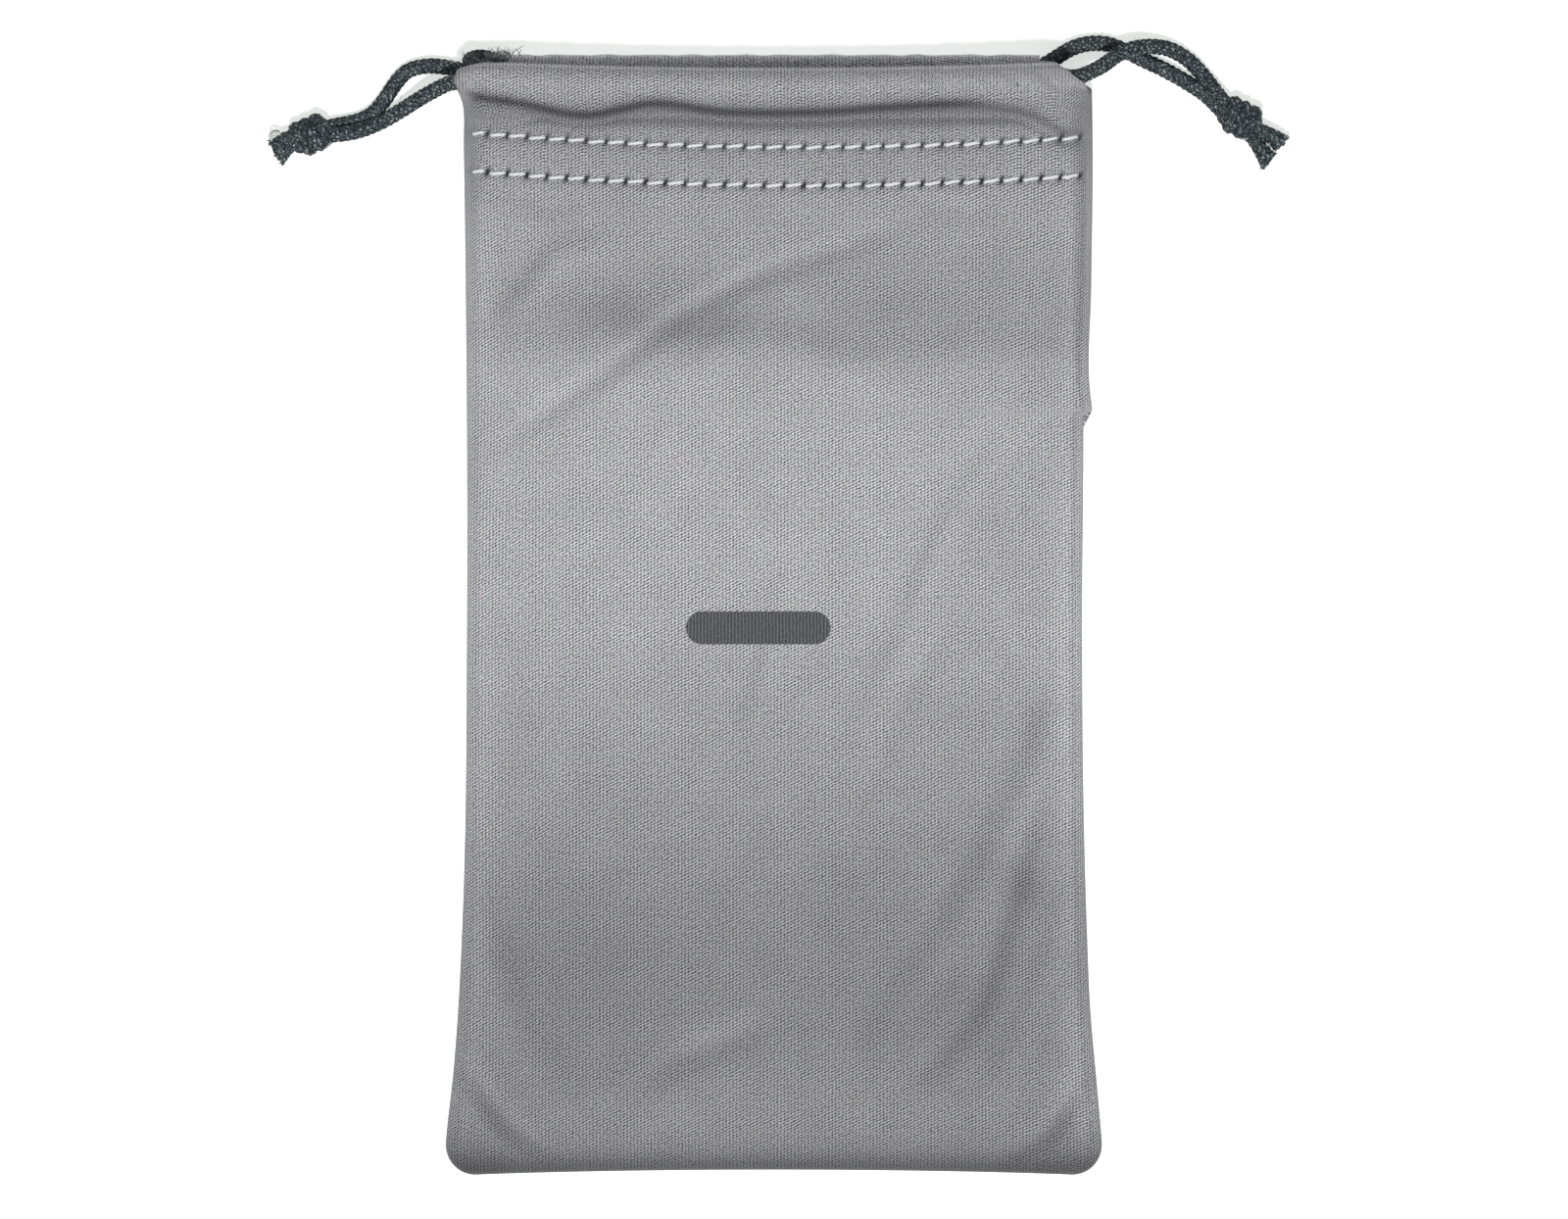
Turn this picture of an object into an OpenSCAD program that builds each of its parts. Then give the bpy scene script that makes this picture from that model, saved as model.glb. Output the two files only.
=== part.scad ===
// Double-drawstring pouch of brushed microfibre, lying on its back panel with its mouth towards +Y.
// The origin is the middle of the pouch's footprint, on the surface that it lies on. Sizes are millimetres.

/* [Pouch] */
// Width across the middle
pouch_w = 95; // [80:1:114]
// Length from the bottom seam to the back panel's top edge
pouch_l = 171; // [142:1:206]
// Thickness of the cloth
cloth_t = 0.5; // [0.4:0.05:0.6]
// How far each bottom corner pokes out past the middle
corner_flare = 3.6; // [0:0.1:5]
// Radius of the turned bottom corners
corner_r = 5; // [3:0.5:7]
// How far the sides spread towards the mouth
mouth_spread = 0.6; // [0:0.1:1.5]

/* [Loft] */
// Height of the belly, near the bottom seam
belly_h = 8.6; // [7:0.1:11]
// Height of the waist, where the front sinks
waist_h = 6.3; // [6:0.1:8]
// Height of the chest, below the hem
chest_h = 10.4; // [9:0.1:12]
// Clear height of the mouth, between the two hems
mouth_gap = 4.8; // [4.5:0.1:6]

/* [Hems] */
// From the top edge to the upper row of stitches, which closes the cord tunnel
tunnel_l = 12.5; // [11:0.5:15]
// From the upper row of stitches to the lower row
row_gap = 5.8; // [4:0.1:8]
// Sag of the front hem's rows at the middle
row_sag = 2; // [0:0.1:2.5]
// Sag of the front hem's top edge at the middle
edge_sag = 1.1; // [0:0.1:1.2]
// How far the front hem's top edge is below the back hem's
front_drop = 0.9; // [0:0.1:1.5]
// Cloth of the hem past its lower row of stitches
hem_edge = 1.5; // [1:0.1:3]
// How far each end of the turned-in hem stops short of the pouch's side
hem_inset = 7; // [5:0.5:9]
// Depth of the slit at the left end of the mouth
slit_left = 7.4; // [5:0.1:9]
// Depth of the slit at the right end of the mouth
slit_right = 6; // [5:0.1:9]

/* [Seams] */
// Width of the seam allowance that is turned inside
seam_w = 5; // [3:0.5:8]
// Room between the seam allowance and the outer fold of the seam
seam_inset = 0.9; // [0.8:0.1:1.5]

/* [Stitches] */
// Distance from one stitch to the next
stitch_pitch = 3; // [2:0.1:4]
// Length of thread that shows of one stitch
stitch_l = 2; // [1.2:0.1:2.4]
// Width of the thread
thread_w = 0.45; // [0.3:0.05:0.6]
// Height of the thread over the cloth
thread_h = 0.25; // [0.15:0.05:0.4]

/* [Drawcords] */
// Diameter of the braided drawcord
cord_d = 2.5; // [2:0.1:2.6]
// Room round the cord inside its tunnel
cord_room = 0.15; // [0.1:0.05:0.3]
// Distance between the turns of a stopper knot
knot_turn = 2.3; // [2:0.1:2.5]
// Outer diameter of a stopper knot
knot_d = 5.2; // [4.8:0.1:6]

/* [Print] */
// Length of the plain printed bar
print_l = 22; // [10:1:40]
// Width of the plain printed bar
print_w = 5; // [3:0.5:10]
// Film thickness of the print
print_t = 0.1; // [0.05:0.01:0.2]

/* [Hidden] */

fit = 0.05;                                        // gap between layers that are sewn together
bottom_y = -pouch_l / 2;
top_y = pouch_l / 2;
tunnel_h = 2 * cloth_t + cord_d + 2 * cord_room;   // a hem with the cords in it
fold_r = tunnel_h / 2;
hem_top = 2 * tunnel_h + mouth_gap;                // the pouch's full height, over the front hem
facing_z = tunnel_h + mouth_gap;                   // underside of the front hem
facing_half = pouch_w / 2 - hem_inset;
seam_z = cloth_t + fit;
body_end = top_y - tunnel_l - row_gap - 5;         // where the front panel's hem zone starts
tunnel_rise = 3;                                   // length over which a facing closes its tunnel
slit_rise = 1;                                     // length over which the front lifts off the seam at a slit
allowance_top = seam_z + 2 * cloth_t;

// Heights of the front along the pouch's length
LOFT = [
  [bottom_y, belly_h],
  [bottom_y + pouch_l / 8, belly_h],
  [-pouch_l / 30, waist_h],
  [pouch_l / 4, chest_h],
  [top_y - tunnel_l - 1, chest_h],
  [top_y - tunnel_l + 4.5, hem_top],
  [top_y, hem_top]
];

function mix(a, b, t) = a + (b - a) * t;
function ease(t) = let (c = min(max(t, 0), 1)) c * c * (3 - 2 * c);
function unit(v) = v / norm(v);

// Height from a list of [y, height] stations, eased from each to the next
function height_at(list, y, i = 0) =
  i >= len(list) - 2 || y < list[i + 1][0]
    ? mix(list[i][1], list[i + 1][1], ease((y - list[i][0]) / (list[i + 1][0] - list[i][0])))
    : height_at(list, y, i + 1);

// Half the pouch's width at y: nearly straight, flared and rounded at the bottom corners
function straight_half(y) =
  pouch_w / 2
  + corner_flare * pow(max(0, (bottom_y / 3 - y) / (bottom_y / 3 - bottom_y)), 2.5)
  + mouth_spread * pow(max(0, y / top_y), 2);
function half_w(y) =
  let (d = max(0, bottom_y + corner_r - y))
  straight_half(y) - corner_r + sqrt(max(0, corner_r * corner_r - d * d));

function front_top(u) = top_y - front_drop - edge_sag * (1 - u * u);
function upper_row(u) = top_y - tunnel_l - row_sag * (1 - u * u);
function lower_row(u) = upper_row(u) - row_gap;
function slit_y(u) = top_y - (u < 0 ? slit_left : slit_right);

// The front's height at y, where u runs from -1 to 1 across the width: full in the middle, down to the seam
// at the sides and the bottom, and open past each slit
function side_drop(u, y) =
  let (power = mix(10, 26, ease((y - pouch_l / 4) / (pouch_l / 5))))
  sqrt(max(0, 1 - pow(abs(u), power)));
function bottom_drop(y) =
  let (run = pouch_l / 7, s = min(max((bottom_y + run - y) / run, 0), 1))
  sqrt(max(0, 1 - pow(s, 4)));
function front_z(u, y) =
  let (open = ease((y - slit_y(u)) / slit_rise))
  seam_z + (height_at(LOFT, y) - seam_z) * mix(side_drop(u, y), 1, open) * bottom_drop(y);

// One line of the front panel from its bottom seam over the top fold and back inside, at share u of the width
function open_half(u, y) =
  let (short = ease((y - slit_y(u) - slit_rise) / (slit_right - fold_r - slit_rise)) * (u < 0 ? 0 : 1))
  mix(half_w(y), facing_half + 2, short);
function front_line(u) =
  let (fold_y = front_top(u) - fold_r, row_y = upper_row(u), edge_y = lower_row(u) - hem_edge,
       edge_z = front_z(u * facing_half / half_w(row_y), row_y) - 2 * cloth_t - fit)
  concat(
    [for (y = BODY_LEVELS) [u * half_w(y), y, front_z(u, y)]],
    [for (i = [1:12]) let (y = mix(body_end, fold_y, i / 12))
      [u * open_half(u, y), y, front_z(u, y)]],
    [for (a = [60, 30, 0, -30, -60, -90]) let (s = min(1, (90 - a) / 90))
      [u * mix(open_half(u, fold_y), facing_half, s), fold_y + fold_r * cos(a),
       facing_z + fold_r + fold_r * sin(a)]],
    [[u * facing_half, row_y + tunnel_rise, facing_z]],
    [[u * facing_half, row_y + 0.5, edge_z]],
    [[u * facing_half, edge_y, edge_z]]
  );

// Places along the length where the front panel has a row of points, closer together round the bottom corners
BODY_LEVELS = concat(
  [for (i = [0:7]) bottom_y + corner_r * (1 - cos(90 * i / 7))],
  [for (i = [1:17]) mix(bottom_y + corner_r, body_end, i / 17 * (0.7 + 0.3 * i / 17))]
);

// Shares of the width where the front panel has a line, closer together towards the sides
ACROSS = [for (i = [-13:13]) sin(90 * i / 13)];

function reversed(list) = [for (i = [len(list) - 1:-1:0]) list[i]];

// A closed sheet of cloth from a grid of points on its right side, its thickness and its lowest height
module cloth(grid, t, low) {
  m = len(grid) - 1;
  n = len(grid[0]) - 1;
  function along(i, j) = grid[min(i + 1, m)][j] - grid[max(i - 1, 0)][j];
  function across(i, j) = grid[i][min(j + 1, n)] - grid[i][max(j - 1, 0)];
  right_side = [for (i = [0:m]) for (j = [0:n]) grid[i][j]];
  wrong_side = [for (i = [0:m]) for (j = [0:n])
    let (p = grid[i][j] - t * unit(cross(along(i, j), across(i, j)))) [p[0], p[1], max(p[2], low)]];
  total = (m + 1) * (n + 1);
  function at(i, j, side) = side * total + i * (n + 1) + j;
  function quad(a, b, c, d) = [[a, b, c], [a, c, d]];
  tops = [for (i = [0:m - 1]) for (j = [0:n - 1])
    each quad(at(i, j, 0), at(i, j + 1, 0), at(i + 1, j + 1, 0), at(i + 1, j, 0))];
  bottoms = [for (i = [0:m - 1]) for (j = [0:n - 1])
    each quad(at(i, j, 1), at(i + 1, j, 1), at(i + 1, j + 1, 1), at(i, j + 1, 1))];
  starts = [for (i = [0:m - 1])
    each quad(at(i, 0, 0), at(i + 1, 0, 0), at(i + 1, 0, 1), at(i, 0, 1))];
  ends = [for (i = [0:m - 1])
    each quad(at(i, n, 0), at(i, n, 1), at(i + 1, n, 1), at(i + 1, n, 0))];
  lefts = [for (j = [0:n - 1])
    each quad(at(0, j, 0), at(0, j, 1), at(0, j + 1, 1), at(0, j + 1, 0))];
  rights = [for (j = [0:n - 1])
    each quad(at(m, j, 0), at(m, j + 1, 0), at(m, j + 1, 1), at(m, j, 1))];
  polyhedron(concat(right_side, wrong_side), concat(tops, bottoms, starts, ends, lefts, rights));
}

// A round tube through points, with one radius for each point
function tangents(p) =
  [for (i = [0:len(p) - 1]) unit(p[min(i + 1, len(p) - 1)] - p[max(i - 1, 0)])];
function carried(t, i, start) =
  i == 0
    ? [unit(start - (start * t[0]) * t[0])]
    : let (before = carried(t, i - 1, start), v = before[i - 1])
      concat(before, [unit(v - (v * t[i]) * t[i])]);
module tube(p, radii, sides = 8) {
  t = tangents(p);
  side = carried(t, len(p) - 1, [0, 0, 1]);
  rings = [for (i = [0:len(p) - 1]) for (k = [0:sides - 1]) let (a = 360 * k / sides)
    p[i] + radii[i] * (cos(a) * side[i] + sin(a) * cross(t[i], side[i]))];
  walls = [for (i = [0:len(p) - 2]) for (k = [0:sides - 1])
    let (a = i * sides + k, b = i * sides + (k + 1) % sides)
    each [[a, a + sides, b + sides], [a, b + sides, b]]];
  first = [for (k = [0:sides - 1]) k];
  last = [for (k = [sides - 1:-1:0]) (len(p) - 1) * sides + k];
  polyhedron(rings, concat(walls, [first, last]));
}

// Outline of the back panel, with the corners at the mouth cut back past each slit
module back_outline() {
  levels = concat(
    [for (i = [0:8]) bottom_y + corner_r * (1 - cos(90 * i / 8))],
    [for (i = [1:16]) mix(bottom_y + corner_r, top_y - slit_left, i / 16)]
  );
  hem_y = top_y - fold_r;
  right_side = concat(
    [for (y = levels) [half_w(y), y]],
    [[half_w(top_y - slit_right), top_y - slit_right], [facing_half, hem_y]]
  );
  left_side = concat(
    [for (y = levels) [-half_w(y), y]],
    [[-half_w(top_y - slit_right), top_y - slit_right], [-facing_half, hem_y]]
  );
  polygon(concat(right_side, reversed(left_side)));
}

module back_panel() {
  fold_y = top_y - fold_r;
  row_y = top_y - tunnel_l;
  edge_y = row_y - row_gap - hem_edge;
  outside = concat(
    [[fold_y - 3, 0]],
    [for (a = [-90:15:90]) [fold_y + fold_r * cos(a), fold_r + fold_r * sin(a)]],
    [[row_y + tunnel_rise, tunnel_h], [row_y, seam_z + cloth_t], [edge_y, seam_z + cloth_t]]
  );
  inside = concat(
    [[fold_y - 3, cloth_t]],
    [for (a = [-90:15:90])
      [fold_y + (fold_r - cloth_t) * cos(a), fold_r + (fold_r - cloth_t) * sin(a)]],
    [[row_y + tunnel_rise, tunnel_h - cloth_t], [row_y, seam_z], [edge_y, seam_z]]
  );
  color("#7f8085") {
    linear_extrude(cloth_t) back_outline();
    translate([-facing_half, 0, 0]) rotate([90, 0, 90])
      linear_extrude(2 * facing_half) polygon(concat(outside, reversed(inside)));
  }
}

module front_panel() {
  color("#9a9a9e") cloth([for (u = ACROSS) front_line(u)], cloth_t, seam_z);
}

// Seam allowance of one side: side is -1 for the left and 1 for the right
module side_allowance(side) {
  low = bottom_y + seam_inset + seam_w + 0.3;
  high = top_y - max(slit_left, slit_right) - 1;
  levels = [for (i = [0:12]) mix(low, high, i / 12)];
  outer = [for (y = levels) [side * (half_w(y) - seam_inset), y]];
  inner = [for (y = levels) [side * (half_w(y) - seam_inset - seam_w), y]];
  translate([0, 0, seam_z]) linear_extrude(2 * cloth_t) polygon(concat(outer, reversed(inner)));
}

module left_seam_allowance() {
  color("#6f7074") side_allowance(-1);
}

module right_seam_allowance() {
  color("#6f7074") side_allowance(1);
}

module bottom_seam_allowance() {
  half = half_w(bottom_y + corner_r) - corner_r - 1;
  color("#6f7074")
    translate([-half, bottom_y + seam_inset, seam_z]) cube([2 * half, seam_w, 2 * cloth_t]);
}

// One stitch, lying along a direction given by its turn about Z and its tilt
module stitch(at, turn = 0, tilt = 0) {
  translate(at) rotate([0, -tilt, 0]) rotate([0, 0, turn])
    translate([-stitch_l / 2, -thread_w / 2, 0]) cube([stitch_l, thread_w, thread_h]);
}

module side_stitches(side) {
  low = bottom_y + seam_inset + seam_w + 2;
  high = top_y - max(slit_left, slit_right) - 2.5;
  for (i = [0:floor((high - low) / stitch_pitch)]) {
    y = low + i * stitch_pitch;
    turn = 90 + side * -atan(half_w(y + 0.5) - half_w(y - 0.5));
    stitch([side * (half_w(y) - seam_inset - 1), y, allowance_top + 0.02], turn);
  }
}

module left_seam_stitches() {
  color("#c9cbcc") side_stitches(-1);
}

module right_seam_stitches() {
  color("#c9cbcc") side_stitches(1);
}

module bottom_seam_stitches() {
  half = half_w(bottom_y + corner_r) - corner_r - 3;
  count = floor(half / stitch_pitch);
  color("#c9cbcc") for (i = [-count:count])
    stitch([i * stitch_pitch, bottom_y + seam_inset + 1, allowance_top + 0.02]);
}

// A row of stitches across the front hem: shift is how far it lies below the upper row
module front_row(shift) {
  count = floor(0.94 * pouch_w / 2 / stitch_pitch);
  for (i = [-count:count]) {
    x = i * stitch_pitch;
    u = x / half_w(upper_row(0));
    y = upper_row(u) - shift;
    step = 0.5 / half_w(y);
    turn = atan(upper_row(u + step) - upper_row(u - step));
    tilt = atan(front_z(u + step, y) - front_z(u - step, y));
    stitch([u * half_w(y), y, front_z(u, y) + 2 * fit], turn, tilt);
  }
}

module front_hem_upper_stitches() {
  color("#c9cbcc") front_row(0);
}

module front_hem_lower_stitches() {
  color("#c9cbcc") front_row(row_gap);
}

// A row of stitches across the turned-in hem of the back panel, on the side that shows in the mouth
module back_row(y) {
  count = floor((facing_half - 2) / stitch_pitch);
  for (i = [-count:count])
    stitch([i * stitch_pitch, y, seam_z + cloth_t + 0.02]);
}

module back_hem_upper_stitches() {
  color("#c9cbcc") back_row(top_y - tunnel_l - thread_w);
}

module back_hem_lower_stitches() {
  color("#c9cbcc") back_row(top_y - tunnel_l - row_gap);
}

// A plain bar with round ends, printed on the front
module printed_bar() {
  centre = [-2.4, -2];
  r = print_w / 2;
  levels = [for (i = [-8:8]) r * sin(90 * i / 8)];
  color("#4a4c4b") cloth([for (i = [-8:8]) [for (v = levels)
    let (
      half = max(print_l / 2 - r + sqrt(max(0, r * r - v * v)), 0.1),
      x = centre[0] + half * i / 8,
      y = centre[1] + v
    )
    [x, y, front_z(x / half_w(y), y) + 3 * fit + print_t]]], print_t, seam_z);
}

// Drawcord routes. Each runs from its knot along one strand into the back tunnel, round the far end of the
// mouth, back through the front tunnel and along the other strand to its knot. The free points are measured
// from the mouth's own corner, and the points in the tunnels follow the hems.
corner = [pouch_w / 2 + 0.5, top_y];
low_z = cloth_t + cord_room + cord_d / 2;
high_z = hem_top - low_z;
mid_z = hem_top / 2;
floor_z = cord_d / 2;
left_back_y = -5.9;
left_front_y = -6.1;
right_back_y = -3.1;
right_front_y = -3.3;

// Points measured from one end of the mouth: side is -1 for the left and 1 for the right
function from_corner(side, list) = [for (p = list) [side * (corner[0] + p[0]), corner[1] + p[1], p[2]]];

LEFT_ROUTE = concat(
  from_corner(-1, [
    [20.6, -11.3, floor_z + 0.6], [18, -10.7, floor_z + 0.1], [16, -10.3, floor_z], [13.6, -9.3, floor_z],
    [11.6, -7.2, floor_z], [10, -4.8, floor_z], [8, -2.6, floor_z], [5, -1.8, floor_z + 0.2],
    [2, -2, low_z - 0.3], [-1, -2.7, low_z], [-5, -4.4, low_z], [-9, -5.5, low_z]
  ]),
  [for (share = [-0.5, -0.25, 0, 0.25, 0.5]) [share * corner[0] * 1.1, corner[1] + left_back_y, low_z]],
  from_corner(1, [
    [-8.5, left_back_y, low_z], [-5, left_back_y, low_z + 0.6], [-3.2, left_back_y, low_z + 2.2],
    [-2.8, left_back_y - 0.1, mid_z], [-3.2, left_front_y, high_z - 2.2],
    [-5, left_front_y, high_z - 0.6], [-8.5, left_front_y, high_z]
  ]),
  [for (share = [0.5, 0.25, 0, -0.25, -0.5])
    [share * corner[0] * 1.1, corner[1] + left_front_y - edge_sag * (1 - share * share * 2), high_z]],
  from_corner(-1, [
    [-9, -5.9, high_z], [-5, -5.3, high_z - 0.5], [-2, -4.8, high_z - 1.7], [1, -4.6, high_z - 3.2],
    [3.5, -5.6, high_z - 4.8], [6.5, -7.2, high_z - 6.7], [9.5, -9, floor_z + 0.9],
    [12.4, -10.6, floor_z + 0.8], [15.4, -11.8, floor_z + 1.8], [18.2, -12.3, floor_z + 2.1],
    [20.6, -12.4, floor_z + 1.7]
  ])
);

RIGHT_ROUTE = concat(
  from_corner(1, [
    [20.4, -8.8, floor_z + 0.7], [17.8, -6.2, floor_z + 0.1], [14.8, -4.2, floor_z], [11.6, -2.4, floor_z],
    [8.2, -0.8, floor_z], [5.2, 0.7, floor_z], [2.6, 1.6, floor_z], [-0.2, 1.6, floor_z + 0.1],
    [-2.8, 0.8, low_z - 0.1], [-5.4, -0.8, low_z], [-8.4, -2.4, low_z], [-12, -3, low_z]
  ]),
  [for (share = [0.5, 0.25, 0, -0.25, -0.5]) [share * corner[0] * 1.1, corner[1] + right_back_y, low_z]],
  from_corner(-1, [
    [-11.5, -3, low_z], [-8.6, -2.4, low_z], [-5.8, -1.2, low_z + 0.2], [-3.5, -0.5, low_z + 1.4],
    [-1.8, -1, low_z + 3.6], [-2.1, -1.9, high_z - 2.4], [-3.9, -2.6, high_z - 0.7],
    [-7, -3.1, high_z], [-12, right_front_y, high_z]
  ]),
  [for (share = [-0.5, -0.25, 0, 0.25, 0.5])
    [share * corner[0] * 1.1, corner[1] + right_front_y - edge_sag * (1 - share * share * 2), high_z]],
  from_corner(1, [
    [-12, right_front_y, high_z], [-8, -3.3, high_z], [-5, -3.7, high_z - 0.1], [-2.2, -3.9, high_z - 0.7],
    [-0.2, -3.2, high_z - 1.7], [2, -2, high_z - 3.2], [4.3, -0.3, high_z - 4.9],
    [6.6, 0.7, floor_z + 3.1], [9.6, 1.1, floor_z + 1.5], [12.4, 0.7, floor_z + 0.4],
    [15.2, -0.9, floor_z], [17.4, -3.2, floor_z + 0.1], [19.8, -6.4, floor_z + 1]
  ])
);

module drawcord(route) {
  color("#1f2b2b") tube(route, [for (p = route) cord_d / 2]);
}

module left_drawcord() {
  drawcord(LEFT_ROUTE);
}

module right_drawcord() {
  drawcord(RIGHT_ROUTE);
}

// A stopper knot: three turns of cord round its core, lying along a direction turned about Z
module knot(at, turn) {
  turn_r = (knot_d - cord_d) / 2;
  color("#1f2b2b") translate([at[0], at[1], knot_d / 2]) rotate([0, 0, turn]) rotate([0, 90, 0]) {
    for (i = [-1:1])
      translate([0, 0, i * knot_turn])
        rotate_extrude($fn = 48) translate([turn_r, 0]) circle(d = cord_d, $fn = 32);
    translate([0, 0, -knot_turn]) cylinder(h = 2 * knot_turn, r = turn_r, $fn = 32);
  }
}

LEFT_KNOT = [-(corner[0] + 22.6), corner[1] - 12.4];
RIGHT_KNOT = [corner[0] + 23, corner[1] - 9.9];

module left_knot() {
  knot(LEFT_KNOT, 10);
}

module right_knot() {
  knot(RIGHT_KNOT, -40);
}

// The two short tails of a drawcord past its knot, each spreading where the braid has frayed
module tails(paths) {
  color("#1f2b2b") for (p = paths)
    tube(p, [for (i = [0:len(p) - 1]) cord_d / 2 * (i < len(p) - 1 ? 0.92 : 1.2)]);
}

module left_cord_ends() {
  x = LEFT_KNOT[0];
  y = LEFT_KNOT[1];
  tails([
    [[x - 2.4, y - 0.9, 2.4], [x - 3.9, y - 1.9, 1.9], [x - 5.2, y - 3.1, 1.6]],
    [[x - 2.6, y + 0.7, 3.3], [x - 4.2, y + 0.9, 3.5], [x - 5.7, y + 0.2, 2.8]]
  ]);
}

module right_cord_ends() {
  x = RIGHT_KNOT[0];
  y = RIGHT_KNOT[1];
  tails([
    [[x + 1.9, y - 1.1, 3.2], [x + 4.2, y - 2.2, 2.9], [x + 6.4, y - 3.9, 1.9]],
    [[x + 0.9, y - 2.3, 2.2], [x + 2.6, y - 4.6, 1.9], [x + 4.2, y - 6.6, 1.6]]
  ]);
}

back_panel();
front_panel();
left_seam_allowance();
right_seam_allowance();
bottom_seam_allowance();
left_seam_stitches();
right_seam_stitches();
bottom_seam_stitches();
front_hem_upper_stitches();
front_hem_lower_stitches();
back_hem_upper_stitches();
back_hem_lower_stitches();
printed_bar();
left_drawcord();
left_knot();
left_cord_ends();
right_drawcord();
right_knot();
right_cord_ends();
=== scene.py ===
"""A small drawstring pouch of brushed warp-knit microfibre, lying on its back panel with its mouth at +Y.

Lengths are worked out in millimetres and turned to metres where a mesh is made. Both panels are closed
shells of cloth that turn over at the mouth into cord tunnels, the rows of lockstitch are twisted thread,
and the two drawcords are braided tubes with overhand stopper knots and frayed ends. Each half of the pouch
is a mesh of its own, because pulling one cord gathers the half of the mouth that is farthest from its knot.
"""

from __future__ import annotations

import logging
import math
from dataclasses import dataclass, field
from enum import Enum
from typing import Iterable, Sequence

import bpy
import numpy as np
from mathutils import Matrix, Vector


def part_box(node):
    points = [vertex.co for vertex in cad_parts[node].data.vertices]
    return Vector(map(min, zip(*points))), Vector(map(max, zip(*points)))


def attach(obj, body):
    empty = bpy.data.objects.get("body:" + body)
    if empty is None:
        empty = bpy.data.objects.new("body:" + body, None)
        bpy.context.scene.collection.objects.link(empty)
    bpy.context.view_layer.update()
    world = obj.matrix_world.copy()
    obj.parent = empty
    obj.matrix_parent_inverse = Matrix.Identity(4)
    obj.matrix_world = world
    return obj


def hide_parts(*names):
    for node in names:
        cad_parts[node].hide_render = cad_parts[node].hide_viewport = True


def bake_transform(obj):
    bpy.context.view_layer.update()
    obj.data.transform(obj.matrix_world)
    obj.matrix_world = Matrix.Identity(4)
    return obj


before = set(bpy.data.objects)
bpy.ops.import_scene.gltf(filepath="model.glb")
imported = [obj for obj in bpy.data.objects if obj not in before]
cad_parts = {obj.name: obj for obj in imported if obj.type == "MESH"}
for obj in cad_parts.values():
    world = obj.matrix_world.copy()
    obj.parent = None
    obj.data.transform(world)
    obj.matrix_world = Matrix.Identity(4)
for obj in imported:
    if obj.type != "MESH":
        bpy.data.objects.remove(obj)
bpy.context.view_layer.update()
FRONT_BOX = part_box("front_panel")
BACK_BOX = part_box("back_panel")

LOG = logging.getLogger("pouch")
MM = 0.001

# Sizes that the frame gives, in millimetres
BOTTOM_Y = BACK_BOX[0][1] / MM
TOP_Y = BACK_BOX[1][1] / MM
HEM_TOP = FRONT_BOX[1][2] / MM

# Sizes of the sewing, in millimetres
CLOTH = 0.5
SEAM_Z = 0.55
CORD_D = 2.5
TUNNEL_H = 3.8
TUNNEL_L = 12.5
ROW_GAP = 5.8
ROW_SAG = 2.0
EDGE_SAG = 1.1
FRONT_DROP = 1.25
HEM_EDGE = 1.5
FACING_HALF = 40.5
SLIT_LEFT = 7.4
SLIT_RIGHT = 6.0
CORNER_R = 5.0
STITCH_PITCH = 3.0
FOLD_R = TUNNEL_H / 2
FACING_Z = HEM_TOP - TUNNEL_H

# The cloth's share of the way from the middle line to a seam is turned to millimetres with this half width.
HALF_WIDTH = 47.0


class Side(Enum):
    """The two ends of the mouth, each with the way it lies from the middle."""

    LEFT = -1
    RIGHT = 1

    @property
    def word(self) -> str:
        """The side's name in lower case."""
        return self.name.lower()

    @property
    def puller(self) -> str:
        """The body of the cord that gathers this half of the mouth: its knot is at the other end."""
        return "right_cord" if self is Side.LEFT else "left_cord"


# ---------------------------------------------------------------- arithmetic


def ease(t: np.ndarray | float) -> np.ndarray:
    """Turn 0 to 1 smoothly, flat outside that range."""
    c = np.clip(t, 0.0, 1.0)
    return c * c * (3 - 2 * c)


def mix(a: np.ndarray | float, b: np.ndarray | float, t: np.ndarray | float) -> np.ndarray:
    """Go from a at t = 0 to b at t = 1."""
    return a + (b - a) * t


def unit(v: np.ndarray) -> np.ndarray:
    """Bring each row of v to length 1."""
    return v / np.maximum(np.linalg.norm(v, axis=-1, keepdims=True), 1e-12)


def through(stations: Sequence[tuple[float, float]], at: np.ndarray | float) -> np.ndarray:
    """Smooth curve through stations.

    Args:
        stations: Pairs of a place and the value there, in rising order of place.
        at: Places to read the curve at.

    Returns:
        The curve's values.
    """
    table = np.array(stations, float)
    place, value = table[:, 0], table[:, 1]
    slope = np.gradient(value, place)
    at = np.asarray(at, float)
    i = np.clip(np.searchsorted(place, at) - 1, 0, len(place) - 2)
    run = place[i + 1] - place[i]
    t = np.clip((at - place[i]) / run, 0, 1)
    rise = t * t * (3 - 2 * t)
    start = t * (1 - t) ** 2
    end = t * t * (t - 1)
    return mix(value[i], value[i + 1], rise) + run * (start * slope[i] + end * slope[i + 1])


def bell(d: np.ndarray, width: float) -> np.ndarray:
    """A smooth hump of height 1 that is width wide to each side."""
    return np.exp(-((d / width) ** 2))


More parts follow.
